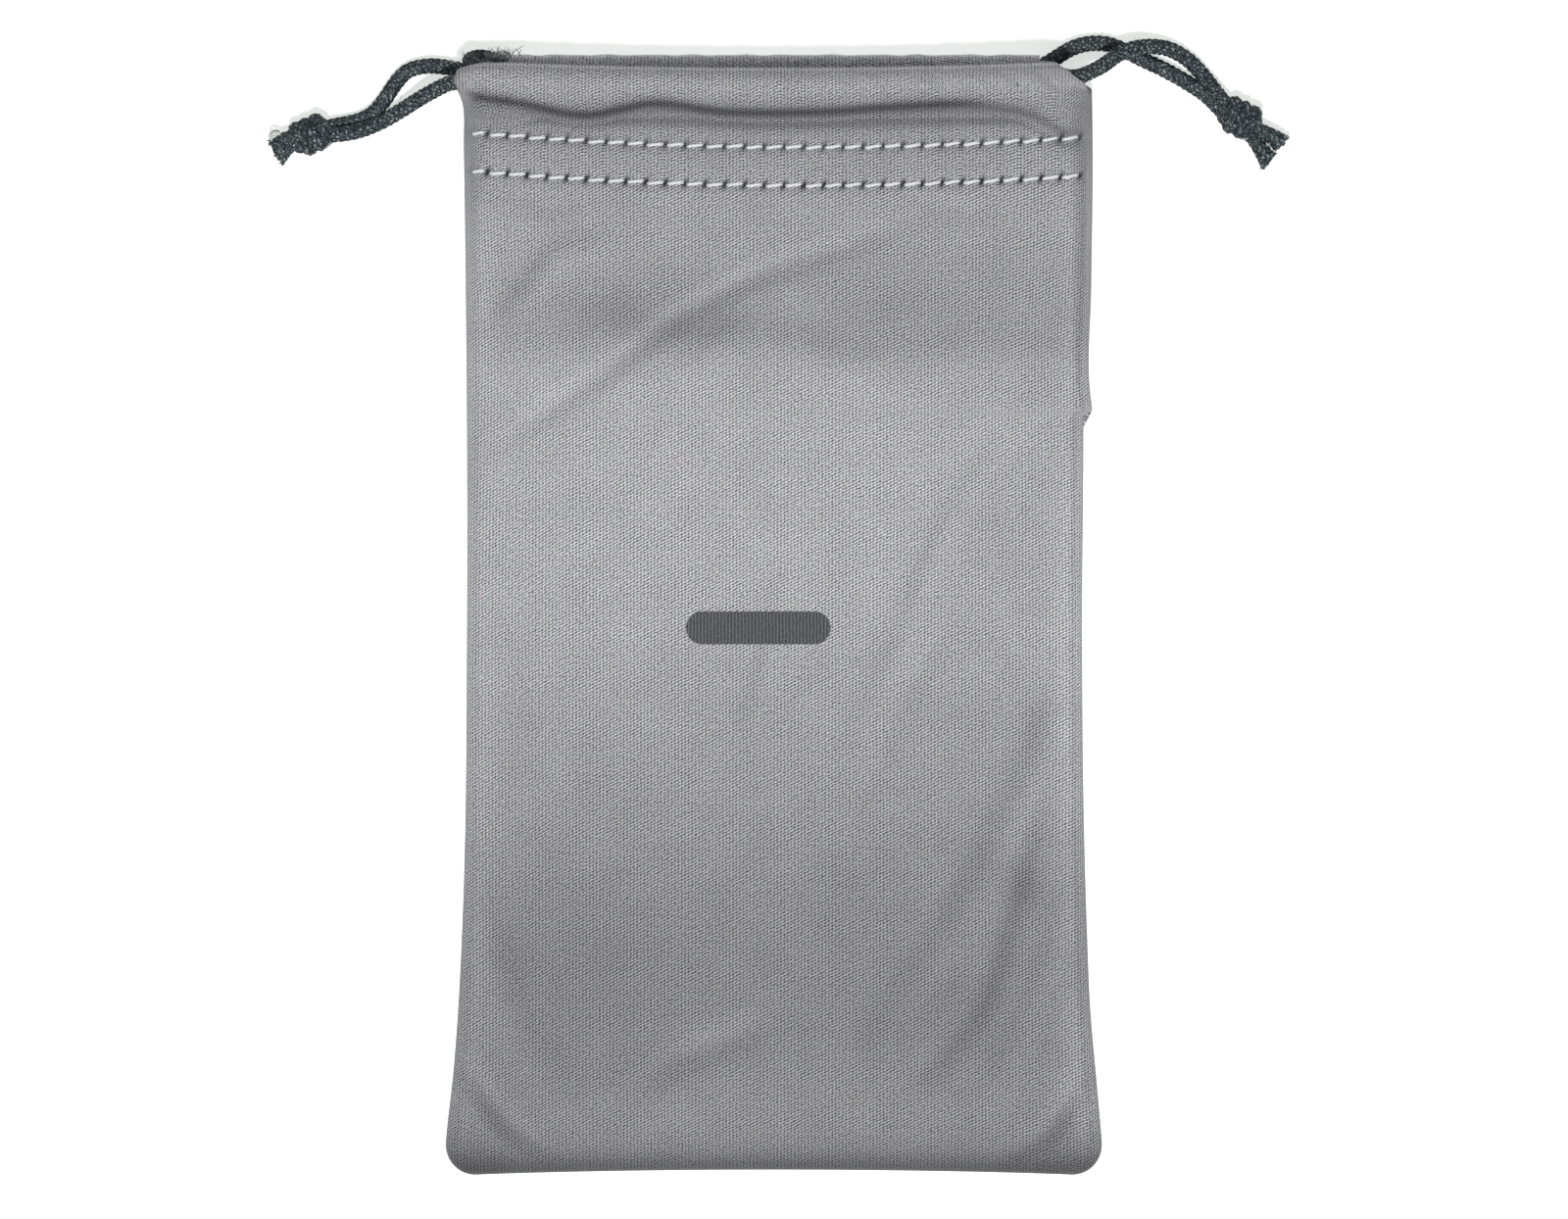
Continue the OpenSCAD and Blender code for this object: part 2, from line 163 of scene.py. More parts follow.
def smooth_path(points: np.ndarray, step: float, rounding: float = 1.2) -> np.ndarray:
    """Even points along a smooth line through the points of a route.

    Args:
        points: The route's points, in millimetres.
        step: Distance from one returned point to the next.
        rounding: Length over which corners are averaged away.

    Returns:
        The points along the line, the first and last where the route's are.
    """
    p = np.array(points, float)
    knots = np.concatenate([[0], np.cumsum(np.sqrt(np.linalg.norm(np.diff(p, axis=0), axis=1)))])
    fine = np.linspace(0, knots[-1], 60 * len(p))
    line = np.stack([through(list(zip(knots, p[:, k])), fine) for k in range(3)], axis=1)
    run = np.concatenate([[0], np.cumsum(np.linalg.norm(np.diff(line, axis=0), axis=1))])
    even = np.linspace(0, run[-1], max(4, round(run[-1] / step)))
    line = np.stack([np.interp(even, run, line[:, k]) for k in range(3)], axis=1)
    reach = max(1, round(rounding / step))
    padded = np.concatenate([np.repeat(line[:1], reach, 0), line, np.repeat(line[-1:], reach, 0)])
    kernel = np.hanning(2 * reach + 3)[1:-1]
    kernel /= kernel.sum()
    soft = np.stack([np.convolve(padded[:, k], kernel, "valid") for k in range(3)], axis=1)
    soft[0], soft[-1] = line[0], line[-1]
    return soft


def length_of(path: np.ndarray) -> float:
    """Length of a line of points."""
    return float(np.linalg.norm(np.diff(path, axis=0), axis=1).sum())


# ---------------------------------------------------------------- meshes


class MeshBag:
    """Points, faces and point values gathered for one mesh, in millimetres."""

    def __init__(self) -> None:
        """Start an empty mesh."""
        self.points: list[np.ndarray] = []
        self.faces: list[list[int]] = []
        self.values: dict[str, list[np.ndarray]] = {}
        self.sharp: list[np.ndarray] = []
        self.count = 0

    def add(
        self,
        points: np.ndarray,
        faces: Iterable[Sequence[int]],
        sharp: np.ndarray | None = None,
        **values: np.ndarray,
    ) -> None:
        """Add one closed surface.

        Args:
            points: Its points, one row each.
            faces: Its faces, as numbers of its own points.
            sharp: A number for each point: an edge between two equal numbers above 0 is sharp.
            **values: Point values by attribute name, one or three numbers for each point.
        """
        n = len(points)
        self.points.append(points)
        self.faces += [[self.count + int(i) for i in face] for face in faces]
        self.sharp.append(np.zeros(n, int) if sharp is None else sharp)
        for name, value in values.items():
            self.values.setdefault(name, []).append(np.asarray(value, float))
        self.count += n

    def build(self, name: str, *materials: bpy.types.Material) -> bpy.types.Object:
        """Make the object.

        Args:
            name: The piece's name.
            *materials: Its finishes.

        Returns:
            The new object, smooth shaded, at the origin of the row frame.
        """
        mesh = bpy.data.meshes.new(name)
        points = np.concatenate(self.points)
        mesh.from_pydata((points * MM).tolist(), [], self.faces)
        mesh.shade_smooth()
        for key, parts in self.values.items():
            value = np.concatenate(parts)
            kind = "FLOAT_VECTOR" if value.ndim == 2 else "FLOAT"
            attribute = mesh.attributes.new(key, kind, "POINT")
            attribute.data.foreach_set("vector" if value.ndim == 2 else "value", value.ravel())
        marks = np.concatenate(self.sharp)
        if marks.any():
            ends = np.zeros(2 * len(mesh.edges), int)
            mesh.edges.foreach_get("vertices", ends)
            ends = marks[ends.reshape(-1, 2)]
            crease = mesh.attributes.new("sharp_edge", "BOOLEAN", "EDGE")
            crease.data.foreach_set("value", (ends[:, 0] == ends[:, 1]) & (ends[:, 0] > 0))
        made = bpy.data.objects.new(name, mesh)
        for material in materials:
            mesh.materials.append(material)
        bpy.context.scene.collection.objects.link(made)
        return made


def grid_faces(rows: int, columns: int, start: int = 0, flip: bool = False) -> list[list[int]]:
    """Quads over a grid of points that is stored row by row.

    Args:
        rows: Number of rows of points.
        columns: Number of points in a row.
        start: Number of the first point.
        flip: Whether the faces look the other way.

    Returns:
        One list of four point numbers for each quad.
    """
    at = start + np.arange(rows * columns).reshape(rows, columns)
    quads = np.stack([at[:-1, :-1], at[:-1, 1:], at[1:, 1:], at[1:, :-1]], axis=-1).reshape(-1, 4)
    return (quads[:, ::-1] if flip else quads).tolist()


def grid_normals(grid: np.ndarray) -> np.ndarray:
    """Unit normal at each point of a grid of points."""
    across = np.gradient(grid, axis=1)
    along = np.gradient(grid, axis=0)
    return unit(np.cross(across, along))


def add_shell(bag: MeshBag, outer: np.ndarray, inner: np.ndarray, **values: np.ndarray) -> None:
    """Add a closed sheet between two grids of points.

    Args:
        bag: The mesh that takes it.
        outer: Rows of points on the right side of the cloth.
        inner: The same rows on its wrong side.
        **values: Values for each point of the grid, which both sides share.
    """
    rows, columns = outer.shape[:2]
    total = rows * columns
    faces = grid_faces(rows, columns) + grid_faces(rows, columns, total, flip=True)
    at = np.arange(total).reshape(rows, columns)
    rim = np.concatenate([at[0, :], at[1:, -1], at[-1, -2::-1], at[-2:0:-1, 0]])
    after = np.roll(rim, -1)
    faces += np.stack([after, rim, rim + total, after + total], axis=1).tolist()
    sharp = np.zeros(2 * total, int)
    sharp[rim], sharp[rim + total] = 1, 2
    doubled = {k: np.concatenate([v.reshape(total, *v.shape[2:])] * 2) for k, v in values.items()}
    points = np.concatenate([outer.reshape(-1, 3), inner.reshape(-1, 3)])
    bag.add(points, faces, sharp, **doubled)


def tube_frames(path: np.ndarray) -> tuple[np.ndarray, np.ndarray]:
    """Two unit directions square to a path, carried along it without twist."""
    tangent = unit(np.gradient(path, axis=0))
    side = np.zeros_like(path)
    start = np.array([0.0, 0.0, 1.0])
    if abs(tangent[0][2]) > 0.9:
        start = np.array([0.0, 1.0, 0.0])
    for i, t in enumerate(tangent):
        start = start - (start @ t) * t
        start /= np.linalg.norm(start)
        side[i] = start
    return side, np.cross(tangent, side)


# How far the rounded end of a tube stands out, as a share of its radius
TIP_SHARE = 0.4


def add_tube(bag: MeshBag, path: np.ndarray, radii: np.ndarray, **values: np.ndarray) -> None:
    """Add a closed tube with rounded ends.

    Args:
        bag: The mesh that takes it.
        path: Points along its middle.
        radii: Radius for each ring and each point round it.
        **values: Values for each ring and point round it.
    """
    rings, sides = radii.shape
    side, up = tube_frames(path)
    turn = 2 * math.pi * np.arange(sides) / sides
    around = np.cos(turn)[None, :, None] * side[:, None] + np.sin(turn)[None, :, None] * up[:, None]
    points = (path[:, None] + radii[..., None] * around).reshape(-1, 3)
    at = np.arange(rings * sides).reshape(rings, sides)
    nxt = np.roll(at, -1, axis=1)
    faces = np.stack([at[:-1], nxt[:-1], nxt[1:], at[1:]], axis=-1).reshape(-1, 4).tolist()
    total = rings * sides
    tangent = unit(np.gradient(path, axis=0))
    first = path[0] - TIP_SHARE * radii[0].mean() * tangent[0]
    last = path[-1] + TIP_SHARE * radii[-1].mean() * tangent[-1]
    faces += [[total, int(nxt[0, k]), int(at[0, k])] for k in range(sides)]
    faces += [[total + 1, int(at[-1, k]), int(nxt[-1, k])] for k in range(sides)]
    extended = {
        k: np.concatenate([v.reshape(total, *v.shape[2:]), v[0, :1], v[-1, :1]]) for k, v in values.items()
    }
    bag.add(np.concatenate([points, [first, last]]), faces, **extended)


# ---------------------------------------------------------------- finishes


def linear(hex_colour: str) -> tuple[float, float, float, float]:
    """Turn an sRGB hex colour such as #9a9a9e into the linear numbers that a shader takes."""
    parts = [int(hex_colour[i : i + 2], 16) / 255 for i in (1, 3, 5)]
    return (*((c / 12.92 if c <= 0.04045 else ((c + 0.055) / 1.055) ** 2.4) for c in parts), 1.0)


def add_node(
    tree: bpy.types.NodeTree, kind: str, inputs: dict | None = None, **settings: object
) -> bpy.types.Node:
    """Add one shader node with its settings and links.

    Args:
        tree: The material's or world's node tree.
        kind: The node's type without its ShaderNode prefix.
        inputs: Sockets by name or number, each with a value or the output that feeds it.
        **settings: The node's own properties.

    Returns:
        The new node.
    """
    made = tree.nodes.new("ShaderNode" + kind)
    for key, value in settings.items():
        setattr(made, key, value)
    for key, value in (inputs or {}).items():
        if isinstance(value, bpy.types.NodeSocket):
            tree.links.new(value, made.inputs[key])
        else:
            made.inputs[key].default_value = value
    return made


def new_material(name: str) -> tuple[bpy.types.Material, bpy.types.NodeTree]:
    """Start an empty material and return it with its node tree."""
    material = bpy.data.materials.new(name)
    material.use_nodes = True
    material.node_tree.nodes.clear()
    return material, material.node_tree


def read_value(tree: bpy.types.NodeTree, name: str, output: str = "Fac") -> bpy.types.NodeSocket:
    """Read one of the mesh's point values."""
    return add_node(tree, "Attribute", attribute_name=name).outputs[output]


def mix_colours(
    tree: bpy.types.NodeTree,
    share: bpy.types.NodeSocket,
    low: str | bpy.types.NodeSocket,
    high: str | bpy.types.NodeSocket,
) -> bpy.types.NodeSocket:
    """Go from one colour to another, each a hex colour or the output that feeds it."""
    ends = [linear(colour) if isinstance(colour, str) else colour for colour in (low, high)]
    made = add_node(tree, "Mix", {0: share, 6: ends[0], 7: ends[1]}, data_type="RGBA")
    return made.outputs[2]


def multiply_add(
    tree: bpy.types.NodeTree,
    value: bpy.types.NodeSocket,
    factor: float,
    start: float | bpy.types.NodeSocket,
) -> bpy.types.NodeSocket:
    """Add a value times a factor to a start."""
    return add_node(tree, "Math", {0: value, 1: factor, 2: start}, operation="MULTIPLY_ADD").outputs[0]


def add_bands(
    tree: bpy.types.NodeTree, vector: bpy.types.NodeSocket, pitch_mm: float, **ripples: float
) -> bpy.types.NodeSocket:
    """Upright bands of yarn.

    Args:
        tree: The material's node tree.
        vector: Where the bands lie, in millimetres.
        pitch_mm: Distance from one band to the next.
        **ripples: The wave's other sockets, with _ for a space.

    Returns:
        The bands' height from 0 to 1.
    """
    sockets = {"Vector": vector, "Scale": WAVE_PERIOD / pitch_mm}
    sockets.update({name.replace("_", " "): value for name, value in ripples.items()})
    return add_node(tree, "TexWave", sockets, bands_direction="X").outputs["Fac"]


def cover_with(
    material: bpy.types.Material,
    colour: bpy.types.NodeSocket,
    relief: tuple[bpy.types.NodeSocket, float, float] | None,
    sockets: dict[str, float],
) -> bpy.types.Material:
    """Finish a material with its surface shader.

    Args:
        material: The material to finish.
        colour: Its colour.
        relief: Height, strength and depth in millimetres of its relief, if it has one.
        sockets: The shader's other sockets.

    Returns:
        The same material.
    """
    tree = material.node_tree
    inputs = {"Base Color": colour, **sockets}
    if relief:
        height, strength, depth_mm = relief
        bump = add_node(tree, "Bump", {"Strength": strength, "Distance": depth_mm * MM, "Height": height})
        inputs["Normal"] = bump.outputs[0]
    shader = add_node(tree, "BsdfPrincipled", inputs)
    add_node(tree, "OutputMaterial", {"Surface": shader.outputs[0]})
    return material


# Blender's band waves repeat once in this length of their vector at a scale of 1.
WAVE_PERIOD = math.pi / 10


@dataclass(frozen=True)
class WarpKnitMicrofibre:
    """Brushed polyester warp knit: fine upright wales under a short nap that scatters light softly.

    The wales are 0.52 mm apart and the slanting courses a little closer.
    """

    name: str
    # The colour follows the knit's height: the valley colour is painted shade in its hollows and the crest
    # colour painted glints on its yarn and fluff, besides the knit's own texture
    valley: str
    crest: str
    wale_mm: float = 0.52
    course_mm: float = 0.43
    course_tilt: float = 27.0
    fluff_mm: float = 0.30
    wale_share: float = 0.36
    course_share: float = 0.66
    fluff_share: float = 2.15
    patch_share: float = 0.14
    tint_share: float = 0.10
    bump_mm: float = 0.07

    def make(self) -> bpy.types.Material:
        """Build the material."""
        material, tree = new_material(self.name)
        lay = read_value(tree, "lay", "Vector")
        wales = add_bands(tree, lay, self.wale_mm, Distortion=1.6, Detail=2.0, Detail_Scale=1.2)
        turn = math.radians(90 - self.course_tilt - 180)
        turned = add_node(tree, "Mapping", {"Vector": lay, "Rotation": (0, 0, turn)}).outputs[0]
        courses = add_bands(tree, turned, self.course_mm, Distortion=2.2, Detail=2.0, Detail_Scale=1.5)
        fluff = add_node(
            tree, "TexNoise", {"Vector": lay, "Scale": 1 / self.fluff_mm, "Detail": 3.0, "Roughness": 0.65}
        )
        patches = add_node(tree, "TexNoise", {"Vector": lay, "Scale": 0.16, "Detail": 3.0})
        tint = add_node(tree, "TexNoise", {"Vector": lay, "Scale": 0.9, "Detail": 2.0})
        # Each share moves the knit's height about one half, where the nap stands neither up nor down.
        height = 0.5 - 0.5 * (self.wale_share + self.course_share + self.fluff_share + self.patch_share)
        for source, share in (
            (wales, self.wale_share),
            (courses, self.course_share),
            (fluff.outputs["Fac"], self.fluff_share),
            (patches.outputs["Fac"], self.patch_share),
        ):
            height = multiply_add(tree, source, share, height)
        # Painted shade in the knit's hollows and painted glints on its crests, over its own texture
        shade = mix_colours(tree, height, self.valley, self.crest)
        spread = add_node(
            tree,
            "VectorMath",
            {0: tint.outputs["Color"], 1: (self.tint_share,) * 3, 2: (1 - self.tint_share / 2,) * 3},
            operation="MULTIPLY_ADD",
        )
        tinted = add_node(tree, "VectorMath", {0: shade, 1: spread.outputs[0]}, operation="MULTIPLY")
        # This point value scales the colour: partly the brushed nap's own tone, partly painted light and
        # shade.
        nap = read_value(tree, "nap")
        colour = add_node(tree, "VectorMath", {0: tinted.outputs[0], "Scale": nap}, operation="SCALE")
        soft = {"Roughness": 0.88, "Specular IOR Level": 0.25}
        soft.update({"Sheen Weight": 0.22, "Sheen Roughness": 0.45})
        return cover_with(material, colour.outputs[0], (height, 0.6, self.bump_mm), soft)


@dataclass(frozen=True)
class SpunPolyesterThread:
    """Two-ply spun polyester sewing thread: pale grey, with a soft shine along each twisted ply."""

    name: str = "spun_polyester_thread"
    colour: str = "#ffffff"
    groove: str = "#d8dbdd"
    fibre_mm: float = 0.12
    bump_mm: float = 0.03

    def make(self) -> bpy.types.Material:
        """Build the material."""
        material, tree = new_material(self.name)
        lay = read_value(tree, "lay", "Vector")
        fibres = add_node(
            tree, "TexNoise", {"Vector": lay, "Scale": 1 / self.fibre_mm, "Detail": 2.0, "Roughness": 0.6}
        ).outputs["Fac"]
        shade = mix_colours(tree, fibres, self.groove, self.colour)
        shine = {"Roughness": 0.5, "Specular IOR Level": 0.45, "Sheen Weight": 0.2, "Sheen Roughness": 0.4}
        return cover_with(material, shade, (fibres, 0.4, self.bump_mm), shine)


@dataclass(frozen=True)
class BraidedPolyester:
    """Round braid of textured polyester: near-black green and navy yarns, with painted glints and painted
    shade.
    """

    name: str = "braided_polyester"
    # The gap colour is painted shade between the yarns, and the pale colour painted glints on their
    # filaments
    gap: str = "#020404"
    green: str = "#132d2b"
    navy: str = "#191f33"
    painted_glint: str = "#e6f3f4"
    filament_mm: float = 0.16
    bump_mm: float = 0.06
    painted_glint_ends: tuple[float, float] = (0.53, 0.61)
    yarn_ends: tuple[float, float] = (0.42, 0.60)

    def split(
        self,
        tree: bpy.types.NodeTree,
        lay: bpy.types.NodeSocket,
        scale: float,
        ends: tuple[float, float],
    ) -> bpy.types.NodeSocket:
        """Blotches of noise that go from 0 to 1 between two levels."""
        source = add_node(tree, "TexNoise", {"Vector": lay, "Scale": scale, "Detail": 1.0})
        made = add_node(tree, "ValToRGB", {0: source.outputs["Fac"]})
        made.color_ramp.elements[0].position, made.color_ramp.elements[1].position = ends
        return made.outputs["Color"]

    def make(self) -> bpy.types.Material:
        """Build the material."""
        material, tree = new_material(self.name)
        lay = read_value(tree, "lay", "Vector")
        grain = {"Vector": lay, "Scale": 1 / self.filament_mm, "Detail": 3.0, "Roughness": 0.7}
        fibres = add_node(tree, "TexNoise", grain).outputs["Fac"]
        # Painted glints in blotches along the yarns
        painted_glints = self.split(tree, lay, 2.1, self.painted_glint_ends)
        yarns = mix_colours(tree, self.split(tree, lay, 0.55, self.yarn_ends), self.navy, self.green)
        shine = add_node(tree, "Math", {0: painted_glints, 1: fibres}, operation="MULTIPLY")
        lit = mix_colours(tree, shine.outputs[0], yarns, self.painted_glint)
        # Painted shade where the yarns dip into the gaps
        deep = mix_colours(tree, read_value(tree, "crest"), self.gap, lit)
        dull = {"Roughness": 0.5, "Specular IOR Level": 0.18, "Sheen Weight": 0.03, "Sheen Roughness": 0.4}
        return cover_with(material, deep, (fibres, 0.7, self.bump_mm), dull)


@dataclass(frozen=True)
class LooseFilament:
    """Loose polyester filaments where a cut edge has frayed: thin, a little shiny, darker at the root."""

    name: str
    root: str
    tip: str

    def make(self) -> bpy.types.Material:
        """Build the material."""
        material, tree = new_material(self.name)
        shade = mix_colours(tree, read_value(tree, "crest"), self.root, self.tip)
        shine = {"Roughness": 0.5, "Specular IOR Level": 0.4, "Sheen Weight": 0.1}
        return cover_with(material, shade, None, shine)


@dataclass(frozen=True)
class ScreenPrintInk:
    """Matt plastisol ink pressed into the knit: dark grey, with the wales still showing through."""

    name: str = "screen_print_ink"
    thin: str = "#828387"
    thick: str = "#303234"
    wale_mm: float = 0.52
    wale_share: float = 0.45
    bump_mm: float = 0.05

    def make(self) -> bpy.types.Material:
        """Build the material."""
        material, tree = new_material(self.name)
        lay = read_value(tree, "lay", "Vector")
        wales = add_bands(tree, lay, self.wale_mm, Distortion=1.6, Detail=2.0)
        speckle = add_node(
            tree, "TexNoise", {"Vector": lay, "Scale": 2.6, "Detail": 3.0, "Roughness": 0.7}
        ).outputs["Fac"]
        cover = multiply_add(tree, wales, self.wale_share, speckle)
        shade = mix_colours(tree, cover, self.thin, self.thick)
        return cover_with(
            material, shade, (cover, 0.4, self.bump_mm), {"Roughness": 0.75, "Specular IOR Level": 0.3}
        )


@dataclass(frozen=True)
class Finishes:
    """Every finish of the pouch, made once and shared by its pieces."""

    microfibre: bpy.types.Material
    microfibre_wrong: bpy.types.Material
    thread: bpy.types.Material
    braid: bpy.types.Material
    cord_fray: bpy.types.Material
    cord_core: bpy.types.Material
    cloth_fray: bpy.types.Material
    ink: bpy.types.Material

    @staticmethod
    def make() -> Finishes:
        """Make every finish."""
        return Finishes(
            microfibre=WarpKnitMicrofibre("brushed_microfibre", "#454649", "#dcdbde").make(),
            microfibre_wrong=WarpKnitMicrofibre("microfibre_wrong_side", "#6a6b70", "#9c9ca1").make(),
            thread=SpunPolyesterThread().make(),
            braid=BraidedPolyester().make(),
            cord_fray=LooseFilament("frayed_braid", root="#0d1415", tip="#3c4b4b").make(),
            cord_core=LooseFilament("core_fluff", root="#8b968f", tip="#d5dbd2").make(),
            cloth_fray=LooseFilament("frayed_microfibre", root="#a3a4a6", tip="#dededc").make(),
            ink=ScreenPrintInk().make(),
        )


# ---------------------------------------------------------------- the pouch's shape

# Where each side of the pouch lies, from the bottom seam to the mouth. The right seam is rolled to the
# front above its nub, so the pouch is a little wider there, and the left end of the front's hem bulges
# like a nose.
LEFT_EDGE = (
    (-85.5, -50.5), (-79, -50.0), (-70, -49.0), (-61, -48.3), (-47, -47.6), (0, -46.9), (50, -47.1),
    (72, -47.4), (77.5, -47.5), (79, -47.8), (81, -48.4), (83, -48.0), (86, -46.6),
)
RIGHT_EDGE = (
    (-85.5, 50.4), (-79, 49.9), (-70, 49.1), (-61, 48.3), (-47, 47.7), (0, 47.0), (26, 47.2), (30, 47.2),
    (30.4, 47.2), (31, 48.5), (31.4, 48.5), (34, 48.2), (50, 48.4), (72, 48.6), (79, 48.5), (86, 48.3),
)

# Heights of the front along its middle
LOFT = ((BOTTOM_Y, 8.0), (-64.0, 8.2), (-5.7, 6.3), (42.75, 10.0), (66.0, 10.6), (TOP_Y, 10.6))


def side_x(side: Side, y: np.ndarray) -> np.ndarray:
    """Where one side of the pouch lies at y, with its bottom corner rounded."""
    edge = through(LEFT_EDGE if side is Side.LEFT else RIGHT_EDGE, y)
    d = np.clip(BOTTOM_Y + CORNER_R - y, 0, CORNER_R)
    return edge - side.value * (CORNER_R - np.sqrt(CORNER_R**2 - d**2))


def spread_x(u: np.ndarray, y: np.ndarray) -> np.ndarray:
    """Place across the pouch for u from -1 to 1, where 0 is the middle line x = 0."""
    return np.where(u < 0, -u * side_x(Side.LEFT, y), u * side_x(Side.RIGHT, y))


def share_u(x: np.ndarray, y: np.ndarray) -> np.ndarray:
    """The u of a place across the pouch."""
    return np.where(x < 0, -x / side_x(Side.LEFT, y), x / side_x(Side.RIGHT, y))


def front_top(u: np.ndarray) -> np.ndarray:
    """The front hem's top edge, sagging in the middle."""
    return TOP_Y - FRONT_DROP - EDGE_SAG * (1 - u * u) - np.where(u < 0, 1.3, 0.2) * np.abs(u) ** 24


def upper_row(u: np.ndarray) -> np.ndarray:
    """The front hem's upper row of stitches, which sits a little higher at the left."""
    return TOP_Y - TUNNEL_L - ROW_SAG * (1 - u * u) - 0.35 * u


def bottom_bow(u: np.ndarray) -> np.ndarray:
    """The bottom seam's middle lies a little higher than its corners."""
    return 0.8 * (1 - u * u)


# A crease's lip: how far it lies from the groove and how wide it is, as shares of the groove's half width,
# and how much painted light it gets, as a share of the painted shade in the groove
LIP_OFFSET = 1.7
LIP_WIDTH = 1.2
LIP_TONE = 0.6


@dataclass(frozen=True)
class Crease:
    """A soft fold in the front: a groove along a line, with a raised lip beside it.

    Args:
        line: Points that it follows.
        width: Half the width of the groove.
        depth: Depth of the groove at its middle; it runs out at both ends.
        lip: Height of the lip as a share of the depth, on the left of the line's way if it is above 0.
        tone: How much painted shade lies in the groove, with painted light on the lip.
    """

    line: tuple[tuple[float, float], ...]
    width: float
    depth: float
    lip: float
    tone: float

    def fields(self, x: np.ndarray, y: np.ndarray) -> tuple[np.ndarray, np.ndarray]:
        """Height, and tone of painted shade and light, that the crease adds at each place."""
        path = smooth_path(np.array([(*p, 0.0) for p in self.line]), 1.0, 2.0)[:, :2]
        tangent = unit(np.gradient(path, axis=0))
        height = np.zeros_like(x)
        tone = np.zeros_like(x)
        reach = 4 * self.width
        near = (
            (x > path[:, 0].min() - reach) & (x < path[:, 0].max() + reach)
            & (y > path[:, 1].min() - reach) & (y < path[:, 1].max() + reach)
        )
        place = np.stack([x[near], y[near]], axis=-1)
        gap = place[:, None, :] - path[None, :, :]
        closest = np.argmin((gap**2).sum(-1), axis=1)
        off = gap[np.arange(len(place)), closest]
        t = tangent[closest]
        aside = t[:, 0] * off[:, 1] - t[:, 1] * off[:, 0]
        past = np.abs((off * t).sum(-1))
        share = closest / (len(path) - 1)
        fade = np.sin(math.pi * np.clip(0.04 + 0.92 * share, 0, 1)) ** 0.7 * bell(past, 2 * self.width)
        groove = bell(aside, self.width)
        lip_side = 1.0 if self.lip > 0 else -1.0
        lip = abs(self.lip) * bell(aside - lip_side * LIP_OFFSET * self.width, LIP_WIDTH * self.width)
        height[near] = self.depth * fade * (lip - groove)
        # Painted shade in the groove and painted light on the lip
        tone[near] = self.tone * fade * (LIP_TONE * lip - groove)
        return height, tone


@dataclass(frozen=True)
class Patch:
    """A soft-edged place painted darker or lighter: partly the nap's tone, partly painted shade and light
    of folds.

    Args:
        x, y: Its middle.
        wide, long: Its reach across and along before turning.
        turn: Its turn in degrees.
        tone: Share by which it is lighter, or darker below 0.
    """

    x: float
    y: float
    wide: float
    long: float
    turn: float
    tone: float

    def field(self, x: np.ndarray, y: np.ndarray) -> np.ndarray:
        """Tone that the patch adds at each place."""
        c, s = math.cos(math.radians(self.turn)), math.sin(math.radians(self.turn))
        a = (c * (x - self.x) + s * (y - self.y)) / self.wide
        b = (-s * (x - self.x) + c * (y - self.y)) / self.long
        return self.tone * np.exp(-(a * a + b * b))


CREASES = (
    # The long diagonal fold below the hem, and the short one at its left
    Crease(
        ((-42, 25), (-33, 31), (-22, 38.5), (-14, 44.5), (-2.5, 50.5), (11.5, 55.3), (21, 59)),
        1.4, 0.55, 0.9, 0.13,
    ),
    Crease(((-44, 44.5), (-38.5, 50), (-33.5, 56), (-26, 57.6)), 1.6, 0.34, -0.7, 0.10),
    # Wavy step under the chest
    Crease(
        ((-31, 45.5), (-23, 44.5), (-12, 43.5), (0, 44), (10, 41.5), (18, 40.8), (28, 41.5), (38, 41)),
        2.4, 0.4, 0.8, 0.035,
    ),
    # Fine pale diagonals over the middle
    Crease(((36, 30), (25.5, 14.5), (17.5, -5), (11, -19)), 1.3, 0.22, 0.8, 0.045),
    Crease(((0.2, 6), (-2, -6), (-4.8, -17)), 1.1, 0.18, 0.8, 0.05),
    Crease(((27, -2), (21, -14), (14, -30)), 1.4, 0.16, -0.8, 0.035),
    # Folds of the lower right
    Crease(((44, -8), (38.5, -22), (33, -32), (28, -42), (20.5, -54), (15, -62)), 2.0, 0.5, 0.9, 0.07),
    Crease(((42, -28), (36.5, -46), (33, -58), (26, -68), (20, -73)), 1.8, 0.42, -0.8, 0.11),
    Crease(((45, -38), (41, -52), (36, -64), (29, -75)), 1.6, 0.25, 0.8, 0.05),
    # Folds of the lower left
    Crease(((-20, -74), (-15.5, -69.5), (-7, -66), (1.5, -62.5)), 1.9, 0.45, 0.9, 0.09),
    Crease(((-46, -30), (-43, -46), (-38, -60), (-30, -72)), 2.4, 0.30, -0.8, 0.05),
    # Pulls at the bottom corners
    Crease(((-48.5, -69), (-45, -74), (-40.5, -79), (-35, -82.5)), 1.4, 0.7, 0.8, 0.16),
    Crease(((48.5, -70), (46, -75), (42, -80), (36, -83)), 1.4, 0.6, -0.8, 0.15),
    # The rolled seam at the right of the chest
    Crease(((46.3, 77), (46.5, 60), (46.5, 45), (46.2, 30)), 0.7, 0.30, -0.7, 0.05),
    # Slack between the two rows of stitches and under them
    Crease(((-40, 63.5), (-34, 61), (-28, 62.5)), 1.4, 0.22, 0.8, 0.05),
    Crease(((20, 63), (28, 60), (36, 61.5)), 1.6, 0.20, 0.8, 0.05),
)
